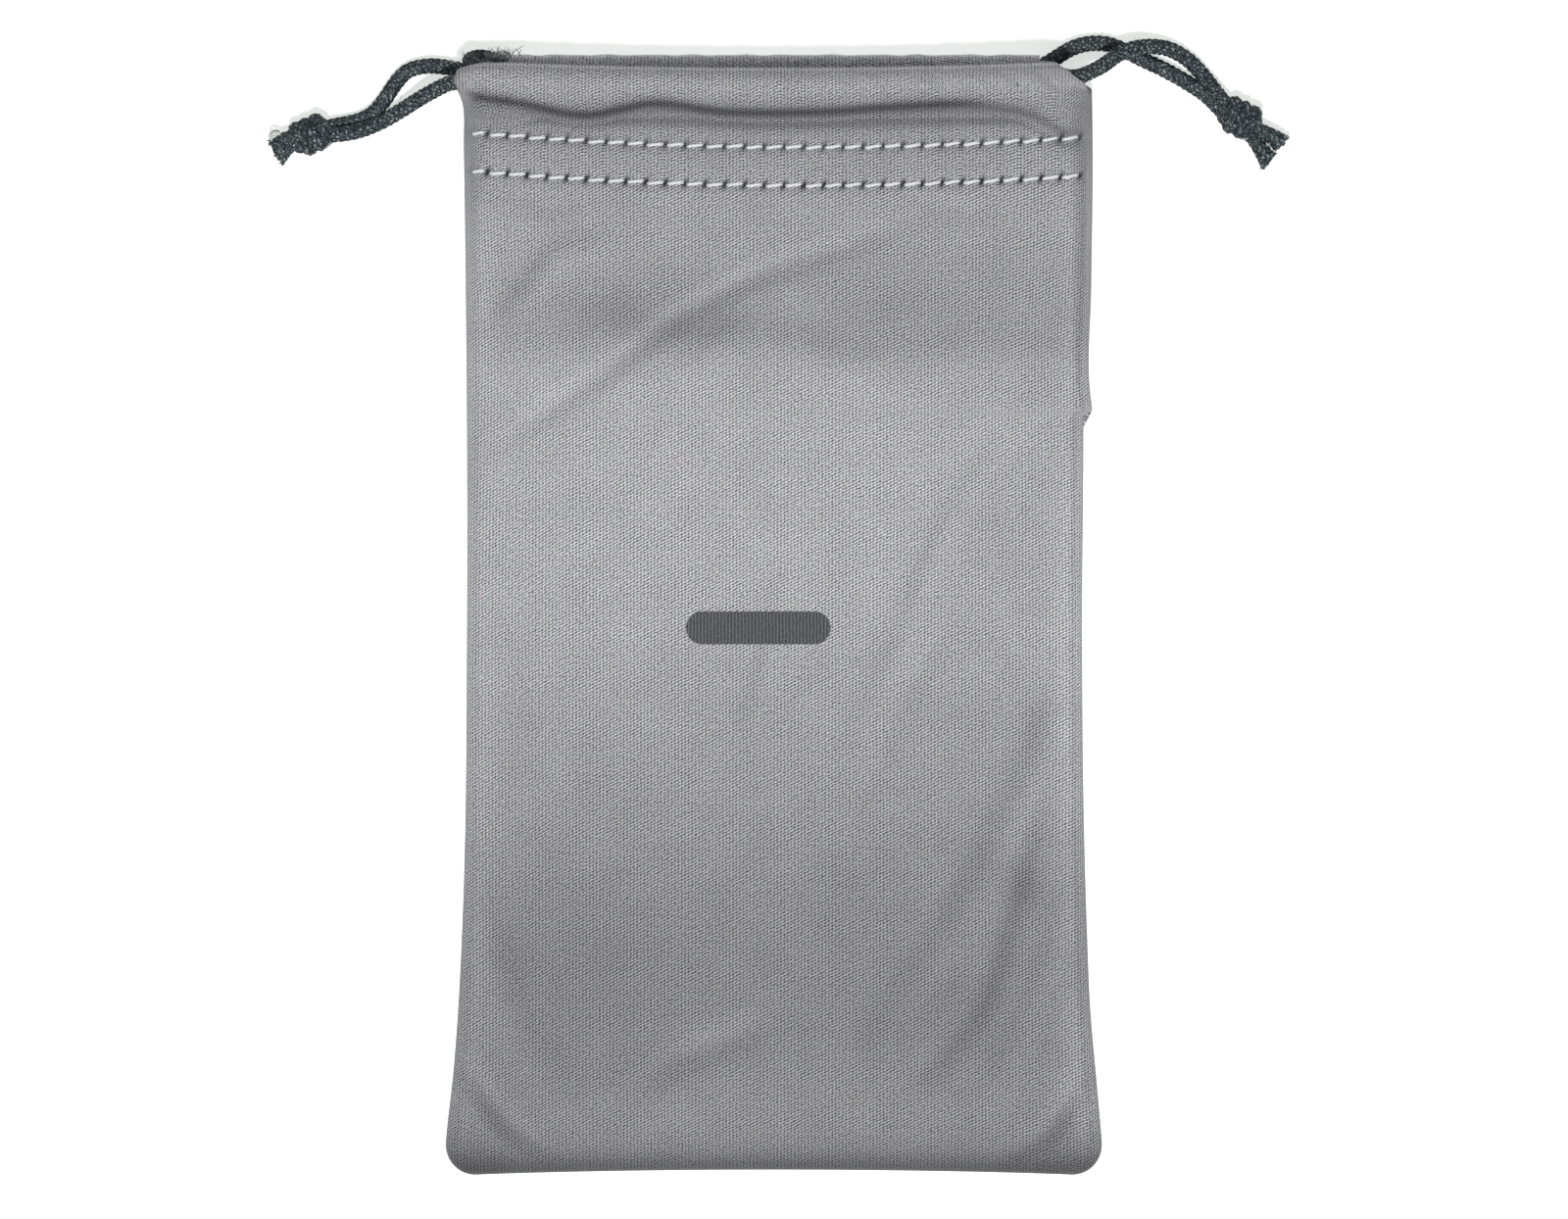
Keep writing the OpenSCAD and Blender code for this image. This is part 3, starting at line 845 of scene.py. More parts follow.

# Places painted darker or lighter: partly the nap's tone and partly painted shade and light beside the
# folds
PATCHES = (
    Patch(-23, 46.5, 8, 3.4, 0, -0.16),
    Patch(-8, 44.2, 6.5, 2.6, 22, -0.17),
    Patch(17, 43, 12, 5, 8, -0.07),
    Patch(22, 52, 18, 6, 15, -0.05),
    Patch(-30, 63, 9, 3, 0, -0.05),
    Patch(-38, 37, 8, 6, 20, 0.05),
    Patch(30, 8, 9, 16, -20, -0.05),
    Patch(40, -16, 2.6, 5.5, -15, -0.10),
    Patch(34, -39, 4.5, 4, 0, -0.11),
    Patch(31, -57, 5.5, 9, -38, -0.10),
    Patch(20, -62, 7, 5, 0, -0.06),
    Patch(-28, -52, 12, 13, 0, -0.08),
    Patch(-22, -69, 8, 4.5, 15, -0.09),
    Patch(-8, -63, 8, 2.4, 25, 0.07),
    Patch(25, -44, 2.6, 12, -28, 0.06),
    Patch(-40, -75, 5, 4, 0, -0.06),
    Patch(0, -79, 34, 3.5, 0, 0.05),
    Patch(39.5, -54, 3.5, 12, -8, 0.12),
    Patch(38.5, -42, 3, 3.2, 0, -0.14),
    Patch(44, -66, 4, 8, -10, 0.06),
)

# How light the front is painted along the pouch, where 1 is the finish's own colour: partly the brushed
# nap's tone and partly painted light and shade, lighter over the middle and darker towards the bottom
# seam and in the line under the cords
NAP_AND_PAINTED_LIGHT_ALONG = (
    (-86, 0.26), (-84, 0.32), (-81.5, 0.54), (-77, 0.66), (-68, 0.66), (-58, 0.66), (-44, 0.71),
    (-30, 0.85), (-14, 0.97), (0, 1.10), (14, 1.14), (30, 1.13), (37, 1.09), (42, 0.92), (50, 0.92),
    (60, 0.99), (68, 0.92), (73, 0.85), (77, 0.79), (80, 0.98), (83, 1.12), (87, 1.10),
)

# Painted sheen: how much lighter the front is painted beside the left seam and beside the right one
LEFT_GLINT = (
    (-86, 0.12), (-35, 0.18), (-8, 0.09), (8, 0.03), (35, 0.04), (46, 0.24), (52, 0.2), (66, 0.0),
    (87, 0.0),
)
RIGHT_GLINT = (
    (-86, 0.26), (-77, 0.40), (-50, 0.26), (-14, 0.28), (8, 0.16), (40, 0.06), (66, 0.06), (87, 0.0),
)

# How strongly a crease's painted shade and light count
CREASE_TONE = 1.8

# The groove under the cords' bulge and its line of painted shade, which wander along the hem
HEM_CREASE = (
    (-47, 78.9), (-38, 77.4), (-29, 75.8), (-18.4, 77.5), (-7.5, 76.3), (7.5, 76.3), (19.4, 77.1),
    (33.3, 77.1), (39, 75.8), (44, 73.2),
)


def hem_crease_y(x: np.ndarray) -> np.ndarray:
    """Where the groove and the line of painted shade under the cords lie."""
    return through(HEM_CREASE, x)


def ripple(x: np.ndarray, y: np.ndarray) -> np.ndarray:
    """Slow unevenness of slack cloth, between about -1 and 1."""
    waves = (
        (0.31, 0.05, 0.3), (0.17, 0.21, 1.9), (0.09, -0.16, 4.1), (-0.22, 0.11, 2.7), (0.05, 0.13, 5.2),
        (0.41, -0.07, 0.9),
    )
    total = sum(np.sin(a * x + b * y + c + 0.6 * np.sin(0.11 * y - 0.07 * x)) for a, b, c in waves)
    return total / 2.6


def hole_gap(x: np.ndarray) -> np.ndarray:
    """How far each place across lies from the nearest needle hole, which are half a stitch from x = 0."""
    phase = (x + STITCH_PITCH / 2) / STITCH_PITCH
    return (phase - np.round(phase)) * STITCH_PITCH


def gathers(x: np.ndarray, y: np.ndarray) -> np.ndarray:
    """Small upright puckers that the drawcords leave in the hems, between about -1 and 1."""
    return 0.6 * np.sin(0.92 * x + 0.5 * np.sin(0.35 * x)) + 0.4 * np.sin(1.47 * x + 0.12 * y + 1.1)


@dataclass(frozen=True)
class FrontShape:
    """The front panel's surface: its height over the floor, and its tone, from the nap and painted light
    and shade.

    Args:
        rim_rise: Height of the turned edge beside the seams.
        rim_run: Distance over which that edge rises.
        lens_run: Distance over which the pouch grows to its full height from the bottom seam.
        box_y: Where the lens-like section of the body starts to turn into the mouth's box-like one.
        groove_y: The highest place that the groove under the cords' bulge takes.
        groove_drop: How much lower the groove lies at the left corner, where a pulled cord needs room.
        groove_depth: Depth of the groove.
        puff: Height of the puff above the upper row of stitches.
        pucker: Depth of each row's valley, for the upper row and the lower one.
        hole: Depth of a needle hole.
        line_tone: How much painted shade darkens the line under the cords, and the painted shade below it.
        fold_tone: Tones of the fold at the mouth: painted shadow where it meets the back hem, a painted
            highlight, painted shade on its far side.
        hole_tone: How much painted shade darkens the needle holes, for the upper row and the lower one.
        corner_tone: How much painted shade darkens the bottom corners, and the bottom edge.
    """

    rim_rise: float = 1.9
    rim_run: float = 2.0
    lens_run: float = 26.0
    box_y: float = 36.0
    groove_y: float = 76.8
    groove_drop: float = 1.1
    groove_depth: float = 0.55
    puff: float = 0.6
    pucker: tuple[float, float] = (0.28, 0.32)
    hole: float = 0.42
    line_tone: tuple[float, float] = (-0.64, -0.18)
    fold_tone: tuple[float, float, float] = (-0.5, 0.42, -0.30)
    hole_tone: tuple[float, float] = (-1.0, -1.4)
    corner_tone: tuple[float, float] = (-0.36, -0.12)

    def rim(self, u: np.ndarray, y: np.ndarray) -> np.ndarray:
        """The turned edge beside the seam, from 0 at the seam to 1 past its fold."""
        side_gap = (1 - np.abs(u)) * HALF_WIDTH
        bottom_gap = y - BOTTOM_Y - bottom_bow(u)
        side = np.sqrt(np.clip(1 - (1 - np.clip(side_gap / self.rim_run, 0, 1)) ** 2, 0, 1))
        bottom = np.sqrt(np.clip(1 - (1 - np.clip(bottom_gap / self.rim_run, 0, 1)) ** 2, 0, 1))
        return side * bottom

    def height(self, x: np.ndarray, y: np.ndarray, creased: bool = True) -> np.ndarray:
        """Height of the front's right side.

        Args:
            x: Places across.
            y: Places along.
            creased: Whether creases and stitch puckers count.

        Returns:
            Heights over the floor.
        """
        u = np.clip(share_u(x, y), -1, 1)
        loft = through(LOFT, y)
        rim = self.rim(u, y)
        run = np.clip((y - BOTTOM_Y) / self.lens_run, 0, 1)
        lens = (1 - np.abs(u) ** 3.0) * (1 - (1 - run) ** 2.6)
        flat = SEAM_Z + self.rim_rise * rim + (loft - SEAM_Z - self.rim_rise) * lens
        box = SEAM_Z + (loft - SEAM_Z) * np.sqrt(np.clip(1 - np.abs(u) ** 24, 0, 1))
        z = mix(flat, box, ease((y - self.box_y) / 36))
        # The hem: a bulge over the two cords, a groove below them and a puff above the upper row
        crease_y = np.minimum(hem_crease_y(x), self.groove_y - self.groove_drop * ease((-34 - x) / 7))
        bulge = ease((y - crease_y + 1.4) / 2.6)
        side_wall = np.sqrt(np.clip(1 - np.abs(u) ** 26, 0, 1))
        z = z + bulge * (HEM_TOP - 0.08 - loft) * side_wall
        swell = self.puff * bell(y - upper_row(u) - 2.3, 1.5) * (1 - bulge)
        z = z + side_wall**2 * (swell - self.groove_depth * bell(y - crease_y + 1.2, 0.9))
        slit_y = np.where(x < 0, TOP_Y - SLIT_LEFT, TOP_Y - SLIT_RIGHT)
        z = mix(z, np.maximum(z, HEM_TOP - 0.5), ease((y - slit_y) / 1.1))
        if creased:
            z = z + self.detail(x, y, u, rim)
        return np.maximum(z, SEAM_Z + 0.02)

    def detail(self, x: np.ndarray, y: np.ndarray, u: np.ndarray, rim: np.ndarray) -> np.ndarray:
        """Creases, slack and stitch puckers, which add to the height away from the seams."""
        cover = ease((1 - np.abs(u)) * HALF_WIDTH / 5) * ease((y - BOTTOM_Y) / 5)
        body = cover * ease((TOP_Y - 14 - y) / 6)
        total = 0.13 * body * ripple(x, y)
        for crease in CREASES:
            total = total + crease.fields(x, y)[0] * rim
        hem = ease((y - 62) / 4) * cover
        total = total + hem * gathers(x, y) * (0.10 + 0.06 * ease((y - 72) / 4))
        for off, depth in zip(self.row_gaps(u, y), self.pucker):
            hole = bell(hole_gap(x), 0.42)
            total = total - cover * (depth * bell(off, 0.75) + self.hole * hole * bell(off, 0.48))
        return total

    def row_gaps(self, u: np.ndarray, y: np.ndarray) -> tuple[np.ndarray, np.ndarray]:
        """How far each place lies above the upper row of stitches and above the lower one."""
        gap = y - upper_row(u)
        return gap, gap + ROW_GAP

    def nap(self, x: np.ndarray, y: np.ndarray) -> np.ndarray:
        """How light each place is, where 1 is the finish's own colour: the nap's tone and painted light and
        shade.
        """
        u = np.clip(share_u(x, y), -1, 1)
        side_gap = (1 - np.abs(u)) * HALF_WIDTH
        inside = ease(side_gap / 3)
        shift = self.seam_tone(x, y, side_gap) + 0.012 * ripple(y * 0.8, x)
        for crease in CREASES:
            shift = shift + CREASE_TONE * crease.fields(x, y)[1]
        for patch in PATCHES:
            shift = shift + patch.field(x, y)
        shift = shift + self.hem_tone(x, y, u, inside) + self.stitch_tone(x, y, u, inside)
        # Painted shade at the bottom corners and along the bottom edge
        corner = bell(np.hypot(np.abs(x) - 48.5, y + 84.5), 6.0)
        bottom = bell(y - BOTTOM_Y - bottom_bow(u), 1.3)
        shift = shift + self.corner_tone[0] * corner + self.corner_tone[1] * bottom
        return np.clip(through(NAP_AND_PAINTED_LIGHT_ALONG, y) * (1 + shift), 0.06, 1.6)

    def seam_tone(self, x: np.ndarray, y: np.ndarray, side_gap: np.ndarray) -> np.ndarray:
        """Painted light beside the side seams: a soft painted glint, and the seam's line of painted shade
        with a painted highlight.
        """
        glint = np.where(x < 0, through(LEFT_GLINT, y), through(RIGHT_GLINT, y))
        line = np.where(x > 0, 0.20, 0.10) * ease((y + 84) / 6) * ease((72 - y) / 4)
        pair = bell(side_gap - 1.5, 0.45) - 0.6 * bell(side_gap - 0.7, 0.4)
        return glint * bell(side_gap - 1.5, 3.4) - line * pair

    def hem_tone(self, x: np.ndarray, y: np.ndarray, u: np.ndarray, inside: np.ndarray) -> np.ndarray:
        """Painted light and shade on the hem: in the line under the cords, above it, and on the fold at the
        mouth.
        """
        away = y - hem_crease_y(x)
        sharp = inside * mix(1, 0.55, ease((x - 26) / 10))
        line = self.line_tone[0] * bell(away, 0.8) + self.line_tone[1] * bell(away + 1.3, 2.4)
        drop = front_top(u) - y
        # Painted shadow where the fold meets the back hem, a painted highlight along it, painted shade on
        # its far side
        meet, fold_highlight, turned = self.fold_tone
        fold = meet * bell(drop, 0.14) + fold_highlight * bell(drop - 0.46, 0.17) + turned * bell(drop - 1.2, 1.3)
        return sharp * line + 0.06 * inside * bell(away - 3.0, 1.3) + fold

    def stitch_tone(self, x: np.ndarray, y: np.ndarray, u: np.ndarray, inside: np.ndarray) -> np.ndarray:
        """Painted shade in the needle holes, which slant a little, and under each row."""
        total = np.zeros_like(x)
        for gap, dark in zip(self.row_gaps(u, y), self.hole_tone):
            hole = bell(hole_gap(x - 0.35 * gap), 0.36)
            total = total + inside * (dark * hole * bell(gap, 0.62) - 0.06 * bell(gap + 0.7, 0.7))
        return total


SHAPE = FrontShape()


def bind_half(piece: bpy.types.Object) -> None:
    """Bake the placement of one half of the cloth, or of what is sewn to it, into its points."""
    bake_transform(piece)


# ---------------------------------------------------------------- cloth


@dataclass
class Panel:
    """One panel of the pouch, as rows of points on its right side and its wrong side."""

    outer: np.ndarray
    inner: np.ndarray
    lay: np.ndarray
    nap: np.ndarray

    def build_half(
        self, name: str, side: Side, middle: int, finish: bpy.types.Material
    ) -> bpy.types.Object:
        """Make one half of the panel as a closed shell.

        Args:
            name: The piece's name.
            side: Which half.
            middle: The column that lies on the middle line.
            finish: The cloth's finish.

        Returns:
            The new piece.
        """
        part = slice(0, middle + 1) if side is Side.LEFT else slice(middle, None)
        bag = MeshBag()
        lay, nap = self.lay[:, part], self.nap[:, part]
        add_shell(bag, self.outer[:, part], self.inner[:, part], lay=lay, nap=nap)
        return bag.build(name, finish)


def arc_length(grid: np.ndarray) -> np.ndarray:
    """Distance along each column of a grid of points from its first row."""
    steps = np.linalg.norm(np.diff(grid, axis=0), axis=2)
    return np.concatenate([np.zeros((1, grid.shape[1])), np.cumsum(steps, axis=0)])


def corner_levels(count: int = 14) -> np.ndarray:
    """Distances above the bottom seam for rows that follow the round corners."""
    return CORNER_R * (1 - np.cos(np.linspace(0, math.pi / 2, count)))


def panel_columns(count: int = 151) -> np.ndarray:
    """Shares of the width for a panel's columns, closer together at both sides."""
    half = np.sin(np.linspace(0, math.pi / 2, count)) * 0.35 + np.linspace(0, 1, count) * 0.65
    return np.concatenate([-half[:0:-1], half])


@dataclass
class Front:
    """The front panel: body, hem, top fold and the facing that is turned inside."""

    finishes: Finishes
    cut: tuple[float, float] = (0.0525, 0.199)
    hem_start: float = BOTTOM_Y + 146.0
    fold_turns: tuple[float, ...] = (75, 66, 58, 50, 42, 34, 24, 12, 0, -30, -60, -90)
    facing_count: int = 9
    hidden_nap: float = 0.45

    def rows(self, u: np.ndarray) -> np.ndarray:
        """Points on the right side, row by row from the bottom seam over the fold to the facing's edge."""
        fold_y = front_top(u) - FOLD_R
        rows: list[np.ndarray] = []
        start = BOTTOM_Y + bottom_bow(u)
        run = self.hem_start - BOTTOM_Y
        for level in np.concatenate([corner_levels(), np.linspace(CORNER_R, run, 150)[1:]]):
            rows.append(self.row(u, mix(start, self.hem_start, level / run)))
        for t in np.linspace(0, 1, 70)[1:]:
            rows.append(self.row(u, mix(self.hem_start, fold_y, t)))
        return np.stack(rows + self.fold_rows(u, fold_y) + self.facing_rows(u, fold_y))

    def fold_rows(self, u: np.ndarray, fold_y: np.ndarray) -> list[np.ndarray]:
        """Rows of points round the fold at the mouth."""
        rows: list[np.ndarray] = []
        facing_x = u * FACING_HALF
        for a in np.radians(self.fold_turns):
            puff = 0.12 * gathers(u * HALF_WIDTH, fold_y) * bell(a, 0.9)
            y = fold_y + (FOLD_R + puff) * math.cos(a)
            x = mix(self.open_x(u, y), facing_x, ease(-a / (math.pi / 2)))
            rows.append(np.stack([x, y, FACING_Z + FOLD_R + FOLD_R * math.sin(a) + 0 * x], axis=-1))
        return rows

    def facing_rows(self, u: np.ndarray, fold_y: np.ndarray) -> list[np.ndarray]:
        """Rows of points along the facing, which lies under the front between the two rows of stitches."""
        facing_x = u * FACING_HALF
        row_y = upper_row(u)

        def below(y: np.ndarray) -> np.ndarray:
            return SHAPE.height(facing_x, y) - 2 * CLOTH - 0.06

        under = below(row_y)
        places = [
            (mix(fold_y, row_y + 3, 0.35), FACING_Z),
            (mix(fold_y, row_y + 3, 0.7), FACING_Z),
            (row_y + 3, FACING_Z),
            (row_y + 1.7, mix(FACING_Z, under, 0.5)),
            (row_y + 0.5, under),
        ]
        places += [(row_y - down, below(row_y - down)) for down in (1.5, 3.6, ROW_GAP, ROW_GAP + HEM_EDGE)]
        return [np.stack([facing_x, y + 0 * facing_x, z + 0 * facing_x], axis=-1) for y, z in places]

    def open_x(self, u: np.ndarray, y: np.ndarray) -> np.ndarray:
        """Place across the pouch, with the right corner of the mouth cut back."""
        full = spread_x(u, y)
        cut = np.clip((y - (TOP_Y - SLIT_RIGHT)) / (SLIT_RIGHT - FRONT_DROP), 0, 1)
        round_off = 1 - 0.035 * ease((y - 82.4) / 1.8)
        return np.where(u > 0, mix(full, u * (FACING_HALF + 1.6), cut), full * round_off)

    def row(self, u: np.ndarray, y: np.ndarray) -> np.ndarray:
        """One row of points up to the fold."""
        full = spread_x(u, y)
        z = SHAPE.height(full, y)
        return np.stack([self.open_x(u, y), y + 0 * full, z], axis=-1)

    def wale_x(self, outer: np.ndarray, u: np.ndarray, tops: int) -> np.ndarray:
        """Distance over the cloth from the middle line, which keeps the wales' pitch on the side walls.

        Args:
            outer: Rows of points on the right side.
            u: Shares of the width for the columns.
            tops: Number of rows below the fold.

        Returns:
            Signed distances, for each point.
        """
        even = outer.copy()
        y = outer[:tops, :, 1]
        even[:tops, :, 2] = SHAPE.height(spread_x(u, y), y, creased=False)
        across = arc_length(even.transpose(1, 0, 2)).T
        return across - across[:, len(u) // 2, None]

    def build(self) -> None:
        """Make both halves."""
        u = panel_columns()
        outer = self.rows(u)
        normals = grid_normals(outer)
        inner = outer - CLOTH * normals
        inner[..., 2] = np.maximum(inner[..., 2], SEAM_Z)
        along = arc_length(outer)
        seen_turns = sum(turn >= 0 for turn in self.fold_turns)
        tops = len(outer) - len(self.fold_turns) - self.facing_count
        lay = np.stack([self.wale_x(outer, u, tops), along, 0 * along], axis=-1)
        nap = SHAPE.nap(outer[..., 0], outer[..., 1])
        # Painted shade: the fold's underside and the facing inside the mouth are painted darker
        nap[tops + seen_turns :] = self.hidden_nap
        panel = Panel(outer, inner, lay, nap)
        for side in Side:
            name = f"front_cloth_{side.word}"
            piece = panel.build_half(name, side, len(u) // 2, self.finishes.microfibre)
            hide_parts("front_panel")
            bind_half(piece)
            LOG.info("%s made", name)


@dataclass
class Back:
    """The back panel: it lies on the floor, and its hem turns up and over into the mouth."""

    finishes: Finishes
    cut: tuple[float, float] = (0.0525, 0.200)
    hem_run: float = 148.0
    fold_y: float = TOP_Y - FOLD_R - 0.12
    facing_count: int = 10
    hidden_nap: float = 0.6

    def open_x(self, u: np.ndarray, y: np.ndarray) -> np.ndarray:
        """Place across the pouch, with both corners of the mouth cut back."""
        full = spread_x(u, y)
        slit_y = np.where(u < 0, TOP_Y - SLIT_LEFT - 0.4, TOP_Y - SLIT_RIGHT + 0.6)
        short = ease((y - slit_y) / (TOP_Y - FOLD_R - slit_y))
        return mix(full, u * FACING_HALF, short)

    def levels(self, fold_y: float) -> np.ndarray:
        """Distances above the bottom seam for the rows up to the fold, closer together in the hem."""
        body = np.linspace(CORNER_R, self.hem_run, 60)[1:]
        return np.concatenate([corner_levels(), body, np.linspace(self.hem_run, fold_y - BOTTOM_Y, 46)[1:]])

    def rows(self, u: np.ndarray) -> np.ndarray:
        """Points on the right side, row by row from the bottom seam to the edge of the turned-in hem."""
        fold_y = self.fold_y
        rows: list[np.ndarray] = []
        start = BOTTOM_Y + bottom_bow(u)
        levels = self.levels(fold_y)
        for level in levels:
            y = mix(start, fold_y, level / levels[-1])
            gap = np.minimum((1 - np.abs(u)) * HALF_WIDTH, y - start)
            curl = SEAM_Z * (1 - np.sqrt(np.clip(1 - (1 - np.clip(gap / 0.9, 0, 1)) ** 2, 0, 1)))
            hole = bell(hole_gap(u * HALF_WIDTH), 0.5)
            for row_y in (TOP_Y - TUNNEL_L, TOP_Y - TUNNEL_L - ROW_GAP):
                curl = curl + (0.16 + 0.08 * hole) * bell(y - row_y, 0.8)
            rows.append(np.stack([self.open_x(u, y), y + 0 * u, curl + 0 * u], axis=-1))
        facing_x = u * FACING_HALF
        for a in np.radians(np.linspace(-78, 90, 14)):
            r = FOLD_R + 0.10 * gathers(facing_x, 0 * u) * math.cos(a)
            z = FOLD_R + FOLD_R * math.sin(a)
            rows.append(np.stack([facing_x, fold_y + r * math.cos(a), z + 0 * u], axis=-1))
        row_y = TOP_Y - TUNNEL_L
        flat_z = SEAM_Z + CLOTH
        for y, z in (
            (fold_y - 2.5, TUNNEL_H),
            (fold_y - 5, TUNNEL_H - 0.03),
            (row_y + 3.6, TUNNEL_H - 0.2),
            (row_y + 2.6, TUNNEL_H - 0.9),
            (row_y + 1.4, mix(TUNNEL_H, flat_z, 0.62)),
            (row_y + 0.4, flat_z + 0.16),
            (row_y - 0.4, flat_z),
            (row_y - 2.9, flat_z + 0.08),
            (row_y - ROW_GAP, flat_z),
            (row_y - ROW_GAP - HEM_EDGE, flat_z + 0.04),
        ):
            uneven = 0.06 * gathers(facing_x, 0 * u + y)
            rows.append(np.stack([facing_x, y + 0 * u, z + uneven * (z > 2)], axis=-1))
        return np.stack(rows)

    def build(self) -> None:
        """Make both halves."""
        u = panel_columns(71)
        outer = self.rows(u)
        # The rows run the same way as the front's, but the right side of this panel faces the floor.
        normals = -grid_normals(outer)
        inner = outer - CLOTH * normals
        tops = len(self.levels(self.fold_y))
        inner[:tops, :, 2] = np.maximum(inner[:tops, :, 2], CLOTH)
        along = arc_length(outer)
        lay = np.stack([outer[..., 0], along, 7 + 0 * along], axis=-1)
        nap = 0.97 + 0.05 * ripple(outer[..., 0], outer[..., 1])
        # Painted light: lighter near the mouth, where the front hem shades it, and a painted highlight on
        # the fold's top
        nap = nap * mix(1, 1.75, ease((outer[..., 1] - TOP_Y + 6) / 4))
        nap = nap * (1 + 0.5 * bell(outer[..., 1] - TOP_Y + 0.12, 0.35))
        # Painted shade: the facing inside the mouth is painted darker
        nap[-self.facing_count :] *= self.hidden_nap
        panel = Panel(inner, outer, lay, nap)
        for side in Side:
            name = f"back_cloth_{side.word}"
            piece = panel.build_half(name, side, len(u) // 2, self.finishes.microfibre)
            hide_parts("back_panel")
            bind_half(piece)
            LOG.info("%s made", name)


@dataclass
class SeamAllowances:
    """The raw edges of both panels, sewn together and turned inside along the sides and the bottom."""

    finishes: Finishes
    width: float = 5.0
    inset: float = 0.9
    thickness: float = 0.95
    columns: int = 9

    def strip(self, line: np.ndarray, inward: np.ndarray) -> MeshBag:
        """A strip of two layers with an uneven raw edge.

        Args:
            line: Points along its outer edge.
            inward: Unit directions into the pouch, one for each point.

        Returns:
            The strip's mesh.
        """
        n = len(line)
        along = np.concatenate([[0], np.cumsum(np.linalg.norm(np.diff(line, axis=0), axis=1))])
        columns = np.linspace(0, 1, self.columns)
        raw = 0.25 * np.sin(1.9 * along) + 0.12 * np.sin(5.3 * along + 1)
        reach = columns[None, :] * (self.width + raw[:, None] * columns[None, :] ** 6)
        flat = line[:, None, :] + reach[..., None] * inward[:, None, :]
        wave = 0.07 * np.sin(1.3 * along)[:, None] * columns[None, :]
        low = flat.copy()
        low[..., 2] = SEAM_Z + 0.02
        high = flat.copy()
        high[..., 2] = SEAM_Z + 0.02 + self.thickness + wave - 0.18 * bell(reach - 1.0, 0.5)
        lay = np.stack([reach, np.repeat(along[:, None], self.columns, 1), 3 + 0 * reach], axis=-1)
        bag = MeshBag()
        facing_up = np.cross(line[-1] - line[0], inward[0])[2] < 0
        if facing_up:
            high, low, lay = high[::-1], low[::-1], lay[::-1]
        add_shell(bag, high, low, lay=lay, nap=np.full((n, self.columns), 0.95))
        return bag

    def build(self) -> None:
        """Make the two side strips and the bottom strip."""
        low = BOTTOM_Y + self.inset + self.width + 0.4
        high = TOP_Y - SLIT_LEFT - 1
        y = np.linspace(low, high, 150)
        for side in Side:
            x = side_x(side, y) - side.value * (self.inset + 0.2)
            line = np.stack([x, y, 0 * y], axis=1)
            inward = np.tile([-side.value, 0.0, 0.0], (len(y), 1))
            name = f"allowance_strip_{side.word}"
            piece = self.strip(line, inward).build(name, self.finishes.microfibre_wrong)
            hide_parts(f"{side.word}_seam_allowance")
            bind_half(piece)
            LOG.info("%s made", name)
        half = float(side_x(Side.RIGHT, np.array(BOTTOM_Y + CORNER_R))) - CORNER_R - 1
        x = np.linspace(-half, half, 110)
        bow = bottom_bow(x / half)
        line = np.stack([x, BOTTOM_Y + self.inset + 0.2 + bow, 0 * x], axis=1)
        inward = np.tile([0.0, 1.0, 0.0], (len(x), 1))
        piece = self.strip(line, inward).build("allowance_strip_bottom", self.finishes.microfibre_wrong)
        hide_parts("bottom_seam_allowance")
        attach(piece, "pouch")
        LOG.info("allowance_strip_bottom made")


# ---------------------------------------------------------------- thread


@dataclass
class Lockstitch:
    """One kind of lockstitch: two twisted plies that show between two needle holes.

    Args:
        length: Length from one needle hole to the next, less the holes.
        ply_r: Radius of a ply.
        ply_offset: Distance from the thread's middle to a ply's.
        twist: Length of one full turn of the plies.
        rise: Height of the stitch's middle over the cloth.
        sink: Depth of its ends in the cloth.
        slant: Sideways bow.
    """

    length: float = 2.35
    ply_r: float = 0.185
    ply_offset: float = 0.125
    twist: float = 0.9
    rise: float = 0.27
    sink: float = 0.42
    slant: float = 0.14

    def add(self, bag: MeshBag, middle: np.ndarray, way: np.ndarray, up: np.ndarray, turn: float) -> None:
        """Add one stitch.

        Args:
            bag: The mesh that takes it.
            middle: The point on the cloth under the middle of the stitch.
            way: Unit direction that it runs in.
            up: Unit direction away from the cloth.
            turn: Where its twist starts, in turns.
        """
        s = np.linspace(-0.5, 0.5, 15)
        arch = (1 - (2 * np.abs(s)) ** 3.2) * (self.rise + self.sink) - self.sink
        aside = np.cross(up, way)
        line = (
            middle
            + np.outer(s * self.length, way)
            + np.outer(arch, up)
            + np.outer(self.slant * np.sin(math.pi * s), aside)
        )
        angle = 2 * math.pi * (s * self.length / self.twist + turn)
        for ply in (0.0, math.pi):
            a = angle + ply
            path = line + self.ply_offset * (np.outer(np.cos(a), up) + np.outer(np.sin(a), aside))
            radii = np.full((len(s), 6), self.ply_r)
            lay = np.repeat(path[:, None, :], 6, axis=1)
            add_tube(bag, path, radii, lay=lay)


